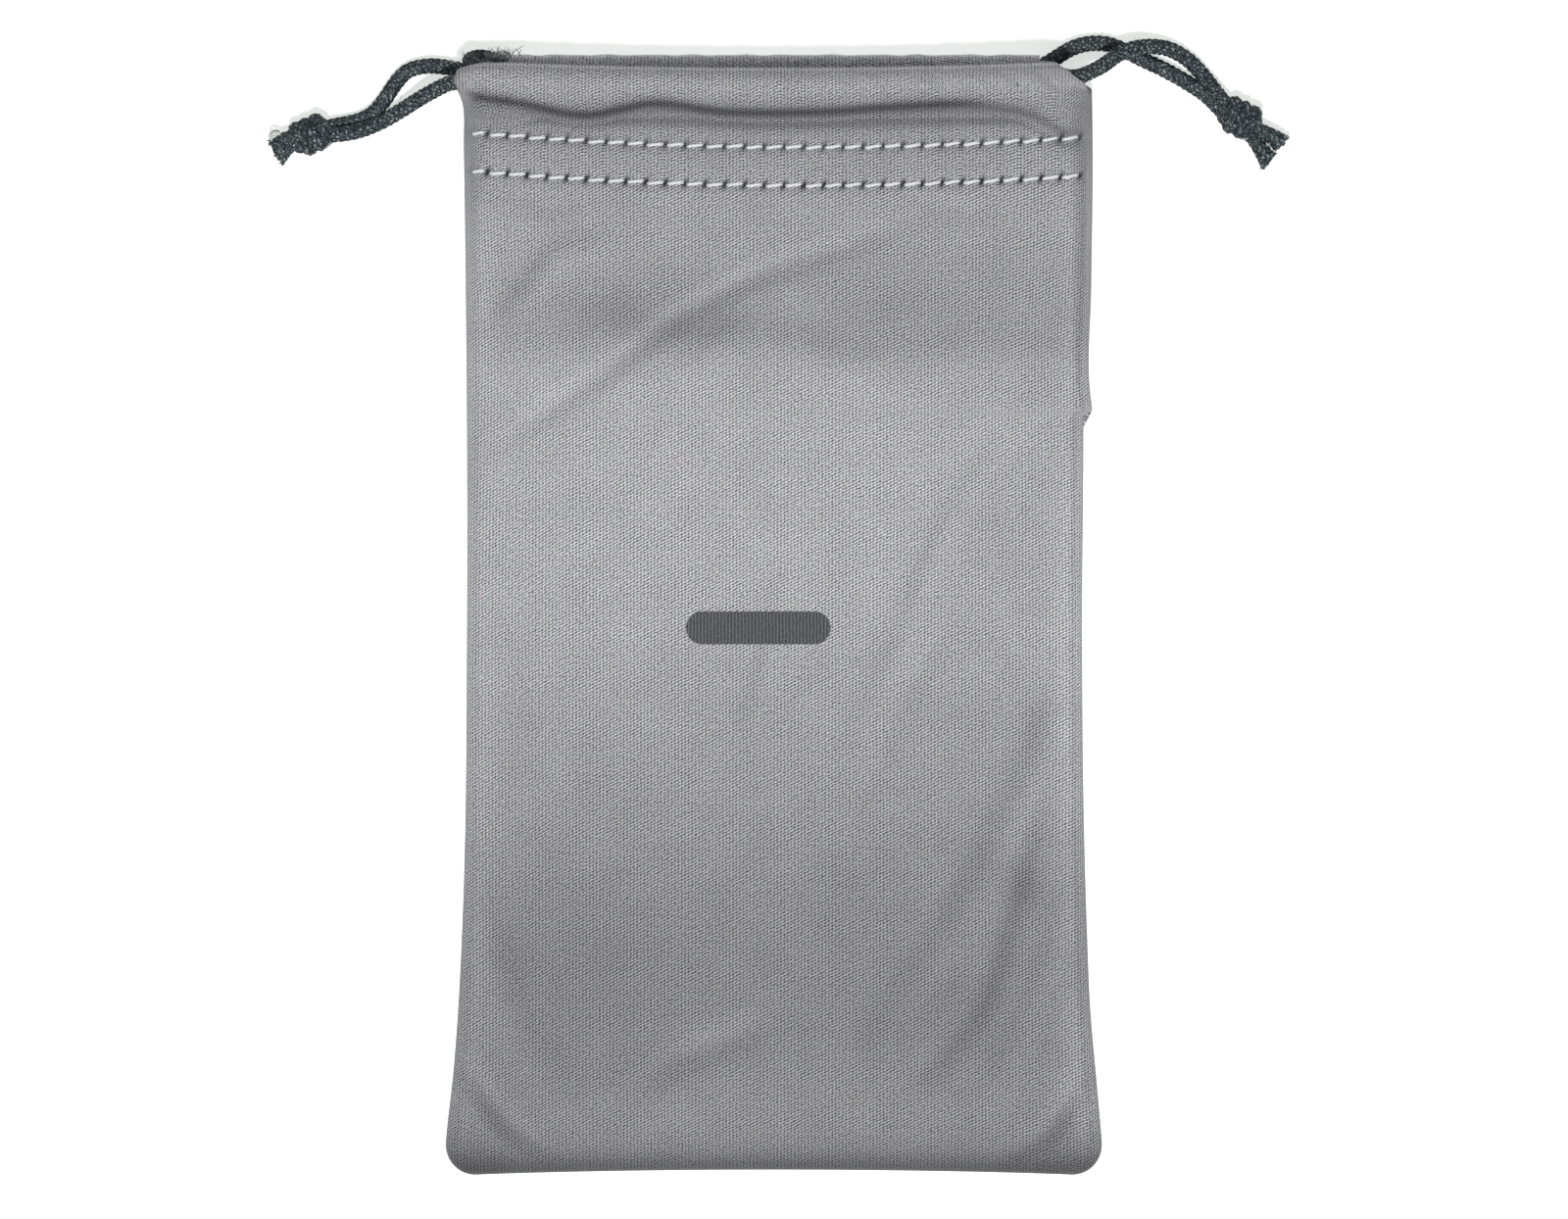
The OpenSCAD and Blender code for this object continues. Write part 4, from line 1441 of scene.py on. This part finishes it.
@dataclass
class Stitching:
    """Every row of thread: the front hem's two rows, the back hem's two rows and the seams."""

    finishes: Finishes
    stitch: Lockstitch = field(default_factory=Lockstitch)

    def finish(self, bag: MeshBag, name: str, node: str, side: Side | None) -> None:
        """Build one row, and attach it to the pouch's body if it belongs to neither half."""
        piece = bag.build(name, self.finishes.thread)
        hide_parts(node)
        if side is None:
            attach(piece, "pouch")
        else:
            bind_half(piece)
        LOG.info("%s made", name)

    def front_row(self, name: str, node: str, shift: float) -> None:
        """A row across the front hem, with its underside in the mouth."""
        for side in Side:
            bag = MeshBag()
            numbers = range(-15, 0) if side is Side.LEFT else range(0, 16)
            for i in numbers:
                self.front_stitch(bag, i, shift)
            self.finish(bag, f"{name}_{side.word}", node, side)

    def front_stitch(self, bag: MeshBag, i: int, shift: float) -> None:
        """One stitch through the front hem, seen on both its faces."""
        x = np.array([i * STITCH_PITCH - 0.3, i * STITCH_PITCH, i * STITCH_PITCH + 0.3])
        u = share_u(x, np.full(3, 71.0))
        y = upper_row(u) - shift
        z = SHAPE.height(x, y)
        line = np.stack([x, y, z], axis=1)
        way = unit(line[2] - line[0])
        sunk = 0.16 * float(ease((abs(u[1]) - 0.90) / 0.07))
        up = unit(np.array([-way[2], 0.0, 1.0]))
        wobble = 0.06 * math.sin(2.3 * i + shift)
        middle = line[1] + np.array([0, wobble, 0]) - up * sunk
        self.stitch.add(bag, middle, way, up, 0.37 * i)
        if abs(x[1]) < FACING_HALF - 2:
            below = line[1] - np.array([0, 0, 2 * CLOTH + 0.1])
            self.stitch.add(bag, below, way, -up, 0.21 * i)

    def back_row(self, name: str, node: str, row_y: float) -> None:
        """A row across the back hem, with its underside towards the floor."""
        way, up = np.array([1.0, 0, 0]), np.array([0, 0, 1.0])
        for side in Side:
            bag = MeshBag()
            numbers = range(-12, 0) if side is Side.LEFT else range(0, 13)
            for i in numbers:
                over = np.array([i * STITCH_PITCH, row_y, SEAM_Z + CLOTH])
                self.stitch.add(bag, over, way, up, 0.31 * i)
                under = np.array([i * STITCH_PITCH, row_y, 0.46])
                self.stitch.add(bag, under, way, -up, 0.17 * i)
            self.finish(bag, f"{name}_{side.word}", node, side)

    def seams(self) -> None:
        """The rows that hold each seam allowance to the next panel."""
        up = np.array([0, 0, 1.0])
        top_z = SEAM_Z + 0.95
        y = np.arange(BOTTOM_Y + 8, TOP_Y - SLIT_LEFT - 3, STITCH_PITCH)
        for side in Side:
            bag = MeshBag()
            for i, at in enumerate(y):
                x = side_x(side, np.array([at - 0.5, at, at + 0.5])) - side.value * 2.1
                way = unit(np.array([x[2] - x[0], 1.0, 0]))
                self.stitch.add(bag, np.array([x[1], at, top_z - 0.12]), way, up, 0.29 * i)
            self.finish(bag, f"seam_thread_{side.word}", f"{side.word}_seam_stitches", side)
        bag = MeshBag()
        for i in range(-14, 15):
            at = np.array([i * STITCH_PITCH, BOTTOM_Y + 2.1 + float(bottom_bow(i / 14.5)), top_z - 0.12])
            self.stitch.add(bag, at, np.array([1.0, 0, 0]), up, 0.29 * i)
        self.finish(bag, "seam_thread_bottom", "bottom_seam_stitches", None)

    def build(self) -> None:
        """Make every row."""
        self.front_row("front_upper_thread", "front_hem_upper_stitches", 0.0)
        self.front_row("front_lower_thread", "front_hem_lower_stitches", ROW_GAP)
        self.back_row("back_upper_thread", "back_hem_upper_stitches", TOP_Y - TUNNEL_L)
        self.back_row("back_lower_thread", "back_hem_lower_stitches", TOP_Y - TUNNEL_L - ROW_GAP)
        self.seams()


# ---------------------------------------------------------------- print


@dataclass
class PrintedBar:
    """A plain bar with round ends, printed on the front: a film that follows the knit."""

    finishes: Finishes
    centre: tuple[float, float] = (-2.4, -2.0)
    length: float = 22.0
    width: float = 5.0
    film: float = 0.06
    soaked: float = 0.03

    def build(self) -> None:
        """Make the film."""
        r = self.width / 2
        v = r * np.sin(np.linspace(-math.pi / 2, math.pi / 2, 31))
        half = np.maximum(self.length / 2 - r + np.sqrt(np.maximum(r * r - v * v, 0)), 0.05)
        t = np.linspace(-1, 1, 89)
        ragged = 1 + 0.004 * np.sin(9 * v)
        x = self.centre[0] + (half * ragged)[:, None] * t[None, :]
        y = self.centre[1] + v[:, None] + 0 * t[None, :]
        z = SHAPE.height(x, y)
        top = np.stack([x, y, z + self.film], axis=-1)
        under = np.stack([x, y, z - self.soaked], axis=-1)
        bag = MeshBag()
        add_shell(bag, top, under, lay=np.stack([x, y, 0 * x], axis=-1))
        piece = bag.build("print_film", self.finishes.ink)
        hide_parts("printed_bar")
        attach(piece, "pouch")
        LOG.info("print_film made")


# ---------------------------------------------------------------- drawcords

# The drawcords' routes. Each runs from its knot along one strand into the back tunnel, round the far end of
# the mouth, back through the front tunnel and along the other strand to its knot. These are where the ends
# of the mouth lie, the heights of the strands in the tunnels, between them and on the floor, and how far
# below the mouth's top each strand runs.
CORNER_X = 48.0
LOW_Z = 1.9
HIGH_Z = HEM_TOP - LOW_Z
MID_Z = HEM_TOP / 2
FLOOR_Z = CORD_D / 2
LEFT_BACK_Y = -5.9
LEFT_FRONT_Y = -6.1
RIGHT_BACK_Y = -3.1
RIGHT_FRONT_Y = -3.3
TUNNEL_SHARES = (-0.5, -0.25, 0.0, 0.25, 0.5)


def from_corner(
    side: Side, points: Sequence[tuple[float, float, float]]
) -> list[tuple[float, float, float]]:
    """Points measured outwards and along from one end of the mouth, in the row frame."""
    return [(side.value * (CORNER_X + x), TOP_Y + y, z) for x, y, z in points]


def in_tunnel(shares: Sequence[float], y: float, z: float, sag: float) -> list[tuple[float, float, float]]:
    """Points along a tunnel, which sags in the middle where it is in the front hem."""
    return [(share * CORNER_X * 1.1, TOP_Y + y - sag * (1 - share * share * 2), z) for share in shares]


LEFT_ROUTE = (
    from_corner(Side.LEFT, (
        (20.6, -11.3, FLOOR_Z + 0.6), (18, -10.7, FLOOR_Z + 0.1), (16, -10.3, FLOOR_Z),
        (13.6, -9.3, FLOOR_Z), (11.6, -7.2, FLOOR_Z), (10, -4.8, FLOOR_Z), (8, -2.6, FLOOR_Z),
        (5, -1.8, FLOOR_Z + 0.2),
        (2, -2, LOW_Z - 0.3), (-1, -2.7, LOW_Z), (-5, -4.4, LOW_Z), (-9, -5.5, LOW_Z),
    ))
    + in_tunnel(TUNNEL_SHARES, LEFT_BACK_Y, LOW_Z, 0.0)
    + from_corner(Side.RIGHT, (
        (-8.5, LEFT_BACK_Y, LOW_Z), (-5, LEFT_BACK_Y, LOW_Z + 0.6), (-3.2, LEFT_BACK_Y, LOW_Z + 2.2),
        (-2.8, LEFT_BACK_Y - 0.1, MID_Z), (-3.2, LEFT_FRONT_Y, HIGH_Z - 2.2),
        (-5, LEFT_FRONT_Y, HIGH_Z - 0.6), (-8.5, LEFT_FRONT_Y, HIGH_Z),
    ))
    + in_tunnel(TUNNEL_SHARES[::-1], LEFT_FRONT_Y, HIGH_Z, EDGE_SAG)
    + from_corner(Side.LEFT, (
        (-9, -5.9, HIGH_Z), (-5, -5.3, HIGH_Z - 0.5), (-2, -4.8, HIGH_Z - 1.7), (1, -4.6, HIGH_Z - 3.2),
        (3.5, -5.6, HIGH_Z - 4.8), (6.5, -7.2, HIGH_Z - 6.7), (9.5, -9, FLOOR_Z + 0.9),
        (12.4, -10.6, FLOOR_Z + 0.8), (15.4, -11.8, FLOOR_Z + 1.8), (18.2, -12.3, FLOOR_Z + 2.1),
        (20.6, -12.4, FLOOR_Z + 1.7),
    ))
)

RIGHT_ROUTE = (
    from_corner(Side.RIGHT, (
        (20.4, -8.8, FLOOR_Z + 0.7), (17.8, -6.2, FLOOR_Z + 0.1), (14.8, -4.2, FLOOR_Z),
        (11.6, -2.4, FLOOR_Z), (8.2, -0.8, FLOOR_Z), (5.2, 0.7, FLOOR_Z), (2.6, 1.6, FLOOR_Z),
        (-0.2, 1.6, FLOOR_Z + 0.1),
        (-2.8, 0.8, LOW_Z - 0.1), (-5.4, -0.8, LOW_Z), (-8.4, -2.4, LOW_Z), (-12, -3, LOW_Z),
    ))
    + in_tunnel(TUNNEL_SHARES[::-1], RIGHT_BACK_Y, LOW_Z, 0.0)
    + from_corner(Side.LEFT, (
        (-11.5, -3, LOW_Z), (-8.6, -2.4, LOW_Z), (-5.8, -1.2, LOW_Z + 0.2), (-3.5, -0.5, LOW_Z + 1.4),
        (-1.8, -1, LOW_Z + 3.6), (-2.1, -1.9, HIGH_Z - 2.4), (-3.9, -2.6, HIGH_Z - 0.7),
        (-7, -3.1, HIGH_Z), (-12, RIGHT_FRONT_Y, HIGH_Z),
    ))
    + in_tunnel(TUNNEL_SHARES, RIGHT_FRONT_Y, HIGH_Z, EDGE_SAG)
    + from_corner(Side.RIGHT, (
        (-12, RIGHT_FRONT_Y, HIGH_Z), (-8, -3.3, HIGH_Z), (-5, -3.7, HIGH_Z - 0.1),
        (-2.2, -3.9, HIGH_Z - 0.7), (-0.2, -3.2, HIGH_Z - 1.7), (2, -2, HIGH_Z - 3.2),
        (4.3, -0.3, HIGH_Z - 4.9), (6.6, 0.7, FLOOR_Z + 3.1), (9.6, 1.1, FLOOR_Z + 1.5),
        (12.4, 0.7, FLOOR_Z + 0.4), (15.2, -0.9, FLOOR_Z), (17.4, -3.2, FLOOR_Z + 0.1),
        (19.8, -6.4, FLOOR_Z + 1),
    ))
)


@dataclass(frozen=True)
class Braid:
    """A round braid of two sets of yarns that wind opposite ways, each going over two and under two.

    Args:
        yarns: Yarns that wind each way.
        lay: Distance along the cord from one yarn to the next.
        relief: Height of a yarn over the gaps beside it.
        sides: Points round the cord.
    """

    yarns: int = 8
    lay: float = 0.98
    relief: float = 0.30
    sides: int = 40

    def surface(self, run: np.ndarray, radius: np.ndarray) -> tuple[np.ndarray, np.ndarray, np.ndarray]:
        """Radii and point values over a stretch of cord.

        Args:
            run: Distance along the cord at each ring.
            radius: The cord's outer radius at each ring.

        Returns:
            Radii, lay coordinates in millimetres and yarn height from 0 to 1, for each ring and point.
        """
        theta = np.arange(self.sides) / self.sides
        a = self.yarns * theta[None, :] + run[:, None] / self.lay
        b = self.yarns * theta[None, :] - run[:, None] / self.lay
        i, j = np.floor(a), np.floor(b)
        fa, fb = a - i, b - j
        turn = np.mod(i + j, 4)
        over_a = turn < 2
        # Each float lies over two yarns of the other set and dips where it goes under.
        along_a = np.where(turn == 0, fb, fb + 1) / 2
        along_b = np.where(turn == 2, fa, fa + 1) / 2
        across = np.where(over_a, fa, fb)
        along = np.where(over_a, along_a, along_b)
        crest = np.sin(math.pi * across) ** 0.8 * (0.62 + 0.38 * np.sin(math.pi * np.clip(along, 0, 1)))
        radii = radius[:, None] - self.relief * (1 - crest)
        yarn = np.where(over_a, 2.7 * i, 1.9 * j + 40)
        lay = np.stack([across * 0.7 + yarn, along * 2.0 + 0.15 * run[:, None], yarn * 0.31], axis=-1)
        return radii, lay, crest

    def add(self, bag: MeshBag, path: np.ndarray, radius: np.ndarray) -> None:
        """Add a stretch of braided cord to a mesh."""
        run = np.concatenate([[0], np.cumsum(np.linalg.norm(np.diff(path, axis=0), axis=1))])
        radii, lay, crest = self.surface(run, radius)
        add_tube(bag, path, radii, lay=lay, crest=crest)


@dataclass(frozen=True)
class StopperKnot:
    """An overhand knot pulled tight, with two turns wrapped round its middle.

    Args:
        at: The knot's middle.
        turn: The way it lies, in degrees from +X.
        reach: How far the cord's middle runs along it, across it and up.
        height: Height of its middle over the floor.
        cord_r: Radius of the cord in it.
        wrap_turn: The way the turns lie, past the knot's own, in degrees.
        wrap_reach: How far their middle runs across the knot and up.
        wrap_length: Length of knot that they cover.
        wrap_count: How many they are.
        wrap_height: Height of their middle over the floor.
        wrap_r: Radius of the cord in them.
    """

    at: tuple[float, float]
    turn: float
    reach: tuple[float, float, float] = (3.1, 1.65, 1.45)
    height: float = 2.72
    cord_r: float = 1.2
    wrap_turn: float = 14.0
    wrap_reach: tuple[float, float] = (1.78, 1.50)
    wrap_length: float = 3.5
    wrap_count: float = 2.15
    wrap_height: float = 2.76
    wrap_r: float = 1.22

    @staticmethod
    def axes(degrees: float) -> tuple[np.ndarray, np.ndarray]:
        """Unit directions along something that lies turned on the floor, and across it."""
        turn = math.radians(degrees)
        ahead = np.array([math.cos(turn), math.sin(turn), 0.0])
        beside = np.array([-math.sin(turn), math.cos(turn), 0.0])
        return ahead, beside

    def middle(self, height: float) -> np.ndarray:
        """The knot's middle at a height."""
        return np.array([self.at[0], self.at[1], height])

    def loop(self) -> np.ndarray:
        """The knot as a line that crosses itself three times."""
        t = np.linspace(-2.06, 2.06, 130)
        along = 1.42 * (t**3 - 3 * t)
        aside = 0.95 * (t**4 - 4 * t**2 + 2)
        rise = 0.17 * (t**5 - 10 * t)
        ahead, beside = self.axes(self.turn)
        line = sum(
            np.outer(most * np.tanh(run / most), way)
            for most, run, way in zip(self.reach, (along, aside, rise), (ahead, beside, [0, 0, 1.0]))
        )
        return smooth_path(line + self.middle(self.height), 0.2, 0.5)

    def wrap(self) -> np.ndarray:
        """The turns round the knot, as a line."""
        ahead, beside = self.axes(self.turn + self.wrap_turn)
        a = np.linspace(0, 2 * math.pi * self.wrap_count, 110)
        line = (
            np.outer(self.wrap_reach[0] * np.cos(a), beside)
            + np.outer(self.wrap_reach[1] * np.sin(a), [0, 0, 1.0])
            + np.outer(self.wrap_length * (a / a[-1] - 0.5), ahead)
        )
        return smooth_path(line + self.middle(self.wrap_height), 0.2, 0.4)

    def stub(self, end: tuple[float, float, float]) -> np.ndarray:
        """A line from a strand's end into the knot."""
        middle = self.middle(self.wrap_height)
        return smooth_path(np.array([end, mix(np.array(end), middle, 0.5), middle]), 0.2, 0.5)


@dataclass
class Drawcord:
    """One drawcord with its stopper knot, its two tails and their frayed ends.

    Args:
        side: The end of the mouth that it leaves from.
        route: Its route through both tunnels.
        knot: Its stopper knot.
        tails: Paths of the two tails past the knot, from the knot's middle and over the floor.
        whole_length: Length of the cord from knot to knot, in metres; not used.
        seed: Start of its random draws.
        curls: Middle, from the knot's, and radius of each core yarn that has curled up at a cut end.
        braid: How it is braided.
    """

    side: Side
    finishes: Finishes
    route: list[tuple[float, float, float]]
    knot: StopperKnot
    tails: tuple[tuple[tuple[float, float, float], ...], ...]
    whole_length: float
    seed: int
    curls: tuple[tuple[float, float, float, float], ...] = ()
    braid: Braid = field(default_factory=Braid)

    def tail_paths(self) -> list[np.ndarray]:
        """The tails' paths in the row frame."""
        return [np.array(tail, float) + self.knot.middle(0.0) for tail in self.tails]

    def build_cord(self) -> tuple[bpy.types.Object, np.ndarray]:
        """Make the braided cord along its route."""
        path = smooth_path(np.array(self.route), 0.24)
        bag = MeshBag()
        self.braid.add(bag, path, np.full(len(path), CORD_D / 2))
        self.add_fuzz(bag, path)
        return bag.build(f"braided_cord_{self.side.word}", self.finishes.braid), path

    def add_fuzz(self, bag: MeshBag, path: np.ndarray) -> None:
        """Add short stray filaments that stand off the visible strands."""
        rng = np.random.default_rng(self.seed)
        outside = np.flatnonzero(np.abs(path[:, 0]) > HALF_WIDTH)
        side, up = tube_frames(path)
        for k in rng.choice(outside, 90):
            a = rng.uniform(0, 2 * math.pi)
            out = math.cos(a) * side[k] + math.sin(a) * up[k]
            start = path[k] + out * (CORD_D / 2 - 0.12)
            bend = rng.normal(0, 0.25, 3)
            t = np.linspace(0, 1, 4)[:, None]
            line = start + t * out * rng.uniform(0.2, 0.5) + t**2 * bend
            line[:, 2] = np.maximum(line[:, 2], 0.04)
            crest = np.full((4, 3), 1.0)
            add_tube(bag, line, np.full((4, 3), 0.025), lay=np.repeat(line[:, None], 3, 1), crest=crest)

    def build_knot(self) -> bpy.types.Object:
        """Make the stopper knot, with the ends of both strands that run into it."""
        bag = MeshBag()
        stubs = [(self.knot.stub(end), self.knot.cord_r) for end in (self.route[0], self.route[-1])]
        for path, radius in [
            (self.knot.loop(), self.knot.cord_r), *stubs, (self.knot.wrap(), self.knot.wrap_r)
        ]:
            self.braid.add(bag, path, np.full(len(path), radius))
        return bag.build(f"stopper_knot_{self.side.word}", self.finishes.braid)

    def build_tails(self) -> bpy.types.Object:
        """Make the two tails, opened where the braid was cut."""
        bag = MeshBag()
        for path in self.tail_paths():
            line = smooth_path(path, 0.2, 0.8)
            t = np.linspace(0, 1, len(line))
            self.braid.add(bag, line, 1.15 + 0.35 * ease((t - 0.35) / 0.65))
        return bag.build(f"cord_tails_{self.side.word}", self.finishes.braid)

    def add_curls(self, bag: MeshBag) -> None:
        """Add the core yarns that have come out of a tail and curled up."""
        for *place, reach in self.curls:
            x, y, z = np.array(place) + self.knot.middle(0.0)
            a = np.linspace(0, 2 * math.pi * 1.3, 40) + reach
            out = reach * (1 - 0.03 * a)
            line = np.stack([x + out * np.cos(a), y + 0.9 * out * np.sin(a), z + 0.10 * a], axis=1)
            radii = np.full((40, 8), 0.22) * (1 - 0.04 * a)[:, None]
            add_tube(bag, line, radii, lay=np.repeat(line[:, None], 8, 1), crest=np.full((40, 8), 0.9))

    def build_fray(self) -> tuple[bpy.types.Object, bpy.types.Object]:
        """Make the dark filaments and the pale core yarns at the tails' cut ends."""
        rng = np.random.default_rng(self.seed + 1)
        bag = MeshBag()
        core = MeshBag()
        self.add_curls(core)
        for number, path in enumerate(self.tail_paths()):
            end = path[-1]
            ahead = unit(end - path[-2])
            across = unit(np.cross(ahead, [0, 0, 1.0]))
            up = np.cross(across, ahead)
            slant = 0.9 if number else -0.7
            for k in range(120):
                a, r = rng.uniform(0, 2 * math.pi), 1.35 * math.sqrt(rng.uniform(0.05, 1))
                root = end + r * (math.cos(a) * across + 0.8 * math.sin(a) * up) - 0.6 * ahead
                grow = rng.uniform(0.5, 1.0) + slant * r * math.cos(a) * 0.5
                lean = 0.2 * r * (math.cos(a) * across + math.sin(a) * up) + rng.normal(0, 0.13, 3)
                t = np.linspace(0, 1, 6)[:, None]
                line = root + t * ahead * max(grow, 0.35) + t**2 * lean
                line = line + 0.08 * np.sin(5 * t + k) * across
                line[:, 2] = np.maximum(line[:, 2], 0.08)
                size = rng.uniform(0.09, 0.17) * (1 - 0.35 * np.repeat(t, 4, axis=1))
                pale = k % 7 == 0
                target = core if pale else bag
                crest = np.clip(np.repeat(t, 4, axis=1) * rng.uniform(0.4, 1.0), 0, 1)
                add_tube(target, line, size, lay=np.repeat(line[:, None], 4, 1), crest=crest)
        dark = bag.build(f"cord_fray_{self.side.word}", self.finishes.cord_fray)
        pale = core.build(f"cord_core_{self.side.word}", self.finishes.cord_core)
        for piece in (dark, pale):
            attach(piece, f"{self.side.word}_cord")
        return dark, pale

    def build(self) -> None:
        """Make the cord with everything on it, and say how long it is."""
        word = self.side.word
        cord, path = self.build_cord()
        knot = self.build_knot()
        tails = self.build_tails()
        fray = self.build_fray()
        for piece, node in ((cord, "drawcord"), (knot, "knot"), (tails, "cord_ends")):
            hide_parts(f"{word}_{node}")
            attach(piece, f"{word}_cord")
        LOG.info("braided_cord_%s made, %.1f mm long", word, length_of(path))


@dataclass
class TunnelFuzz:
    """Filaments that have frayed out of the back hem's raw end, above the left corner of the mouth."""

    finishes: Finishes
    seed: int = 71

    def build(self) -> None:
        """Make the filaments in two tufts."""
        rng = np.random.default_rng(self.seed)
        bag = MeshBag()
        tufts = (((-44.6, 84.0, 4.2), 130, 2.2), ((-41.2, 85.0, 3.6), 90, 1.7))
        for centre, count, reach in tufts:
            for k in range(count):
                root = np.array(centre) + rng.normal(0, 1, 3) * [reach * 0.62, 0.45, 0.5]
                root[1] = min(root[1], TOP_Y + 0.2)
                way = unit(np.array([rng.normal(-0.2, 0.6), rng.uniform(0.2, 1.0), rng.normal(0.3, 0.4)]))
                t = np.linspace(0, 1, 6)[:, None]
                curl = rng.normal(0, 0.35, 3)
                line = root + t * way * rng.uniform(0.5, 1.5) + t**2 * curl
                line[:, 2] = np.clip(line[:, 2], 0.1, None)
                size = rng.uniform(0.04, 0.08) * (1 - 0.4 * np.repeat(t, 4, axis=1))
                crest = np.clip(np.repeat(t, 4, axis=1) + rng.uniform(-0.2, 0.3), 0, 1)
                add_tube(bag, line, size, crest=crest)
        piece = bag.build("tunnel_end_fuzz", self.finishes.cloth_fray)
        bind_half(piece)
        LOG.info("tunnel_end_fuzz made")


# ---------------------------------------------------------------- studio


@dataclass(frozen=True)
class Studio:
    """The plain white table, the lamp and the camera straight above.

    Args:
        view_width: Width that the camera sees at focus_z, in metres.
        lens: The camera's focal length in millimetres.
        sensor: The camera's sensor width in millimetres.
        centre: The place that the camera looks at.
        focus_z: Height where view_width counts.
        key_watts: The key lamp's power.
        key_size: The key lamp's diameter.
        key_distance: How far the key lamp is from the pouch.
        key_elevation: The key lamp's height over the horizon, in degrees.
        key_x: How far the key lamp is to the left.
        world_level: Strength of the even light.
        table_half: Half the table's width.
        table_glow: How much lighter the table looks to the camera, which keeps shadows faint.
    """

    view_width: float = 0.2388
    lens: float = 250.0
    sensor: float = 36.0
    centre: tuple[float, float] = (0.0015, 0.0008)
    focus_z: float = 0.004
    key_watts: float = 8.2
    key_size: float = 0.11
    key_distance: float = 1.05
    key_elevation: float = 74.0
    key_x: float = -0.03
    world_level: float = 0.25
    table_half: float = 1.6
    table_glow: float = 0.68

    def camera(self) -> None:
        """Set the camera to look straight down, with +Y at the top of the picture."""
        data = bpy.data.cameras.new("camera")
        data.lens, data.sensor_width, data.clip_start = self.lens, self.sensor, 0.01
        made = bpy.data.objects.new("camera", data)
        made.location = (*self.centre, self.focus_z + self.view_width * self.lens / self.sensor)
        bpy.context.scene.collection.objects.link(made)
        bpy.context.scene.camera = made

    def table(self) -> None:
        """Make the white table, which keeps the pouch's shadow and reads as white to the camera."""
        mesh = bpy.data.meshes.new("table_top")
        half = self.table_half
        corners = [(-half, -half, 0), (half, -half, 0), (half, half, 0), (-half, half, 0)]
        mesh.from_pydata(corners, [], [(0, 1, 2, 3)])
        top = bpy.data.objects.new("table_top", mesh)
        bpy.context.scene.collection.objects.link(top)
        material, tree = new_material("white_laminate")
        seen = add_node(tree, "LightPath").outputs["Is Camera Ray"]
        diffuse = add_node(tree, "BsdfDiffuse", {"Color": linear("#e7e8e7")})
        glow = add_node(tree, "Emission", {"Color": linear("#f4f8f4"), "Strength": self.table_glow})
        both = add_node(tree, "AddShader", {0: diffuse.outputs[0], 1: glow.outputs[0]})
        shown = add_node(tree, "MixShader", {0: seen, 1: diffuse.outputs[0], 2: both.outputs[0]})
        add_node(tree, "OutputMaterial", {"Surface": shown.outputs[0]})
        mesh.materials.append(material)

    def lamps(self) -> None:
        """Add the key lamp on the side of the pouch's bottom seam, and a soft even world."""
        data = bpy.data.lights.new("key", "AREA")
        data.shape = "DISK"
        data.size = self.key_size
        data.energy = self.key_watts
        key = bpy.data.objects.new("key", data)
        distance, elevation = self.key_distance, math.radians(self.key_elevation)
        key.location = (self.key_x, -distance * math.cos(elevation), distance * math.sin(elevation))
        key.rotation_euler = (math.pi / 2 - elevation, 0, 0)
        bpy.context.scene.collection.objects.link(key)
        world = bpy.data.worlds.new("studio")
        bpy.context.scene.world = world
        world.use_nodes = True
        tree = world.node_tree
        tree.nodes.clear()
        path = add_node(tree, "LightPath")
        seen = path.outputs["Is Camera Ray"]
        for ray in ("Is Glossy Ray", "Is Transmission Ray"):
            seen = add_node(tree, "Math", {0: seen, 1: path.outputs[ray]}, operation="MAXIMUM").outputs[0]
        level = add_node(tree, "Mix", {0: seen, 2: self.world_level, 3: 1.0}, data_type="FLOAT")
        light = add_node(tree, "Background", {"Color": linear("#fbfcff"), "Strength": level.outputs[0]})
        add_node(tree, "OutputWorld", {"Surface": light.outputs[0]})

    def build(self) -> None:
        """Set up the whole studio."""
        self.camera()
        self.table()
        self.lamps()
        bpy.context.scene.view_settings.view_transform = "Standard"


def main() -> None:
    logging.basicConfig(level=logging.INFO, format="%(name)s: %(message)s")
    Studio().build()
    finishes = Finishes.make()
    Drawcord(
        side=Side.LEFT,
        finishes=finishes,
        route=LEFT_ROUTE,
        knot=StopperKnot(at=(-(CORNER_X + 22.6), TOP_Y - 12.4), turn=10),
        tails=(
            ((-1.6, -0.7, 2.5), (-3.7, -1.9, 1.9), (-5.0, -3.0, 1.5)),
            ((-1.6, 0.2, 3.1), (-3.6, -0.5, 3.0), (-5.0, -1.7, 2.6)),
        ),
        whole_length=0.241,
        seed=11,
        curls=((-5.4, -0.2, 2.6, 0.95), (-5.6, 0.1, 2.7, 0.45)),
    ).build()
    Drawcord(
        side=Side.RIGHT,
        finishes=finishes,
        route=RIGHT_ROUTE,
        knot=StopperKnot(at=(CORNER_X + 23, TOP_Y - 9.9), turn=-40),
        tails=(
            ((1.5, -1.0, 3.0), (4.2, -2.3, 2.6), (6.2, -3.6, 1.9)),
            ((0.9, -1.6, 2.2), (2.9, -4.2, 1.9), (4.3, -6.2, 1.6)),
        ),
        whole_length=0.242,
        seed=12,
    ).build()
    Back(finishes).build()
    Front(finishes).build()
    SeamAllowances(finishes).build()
    Stitching(finishes).build()
    PrintedBar(finishes).build()
    TunnelFuzz(finishes).build()


if __name__ == "__main__":
    main()
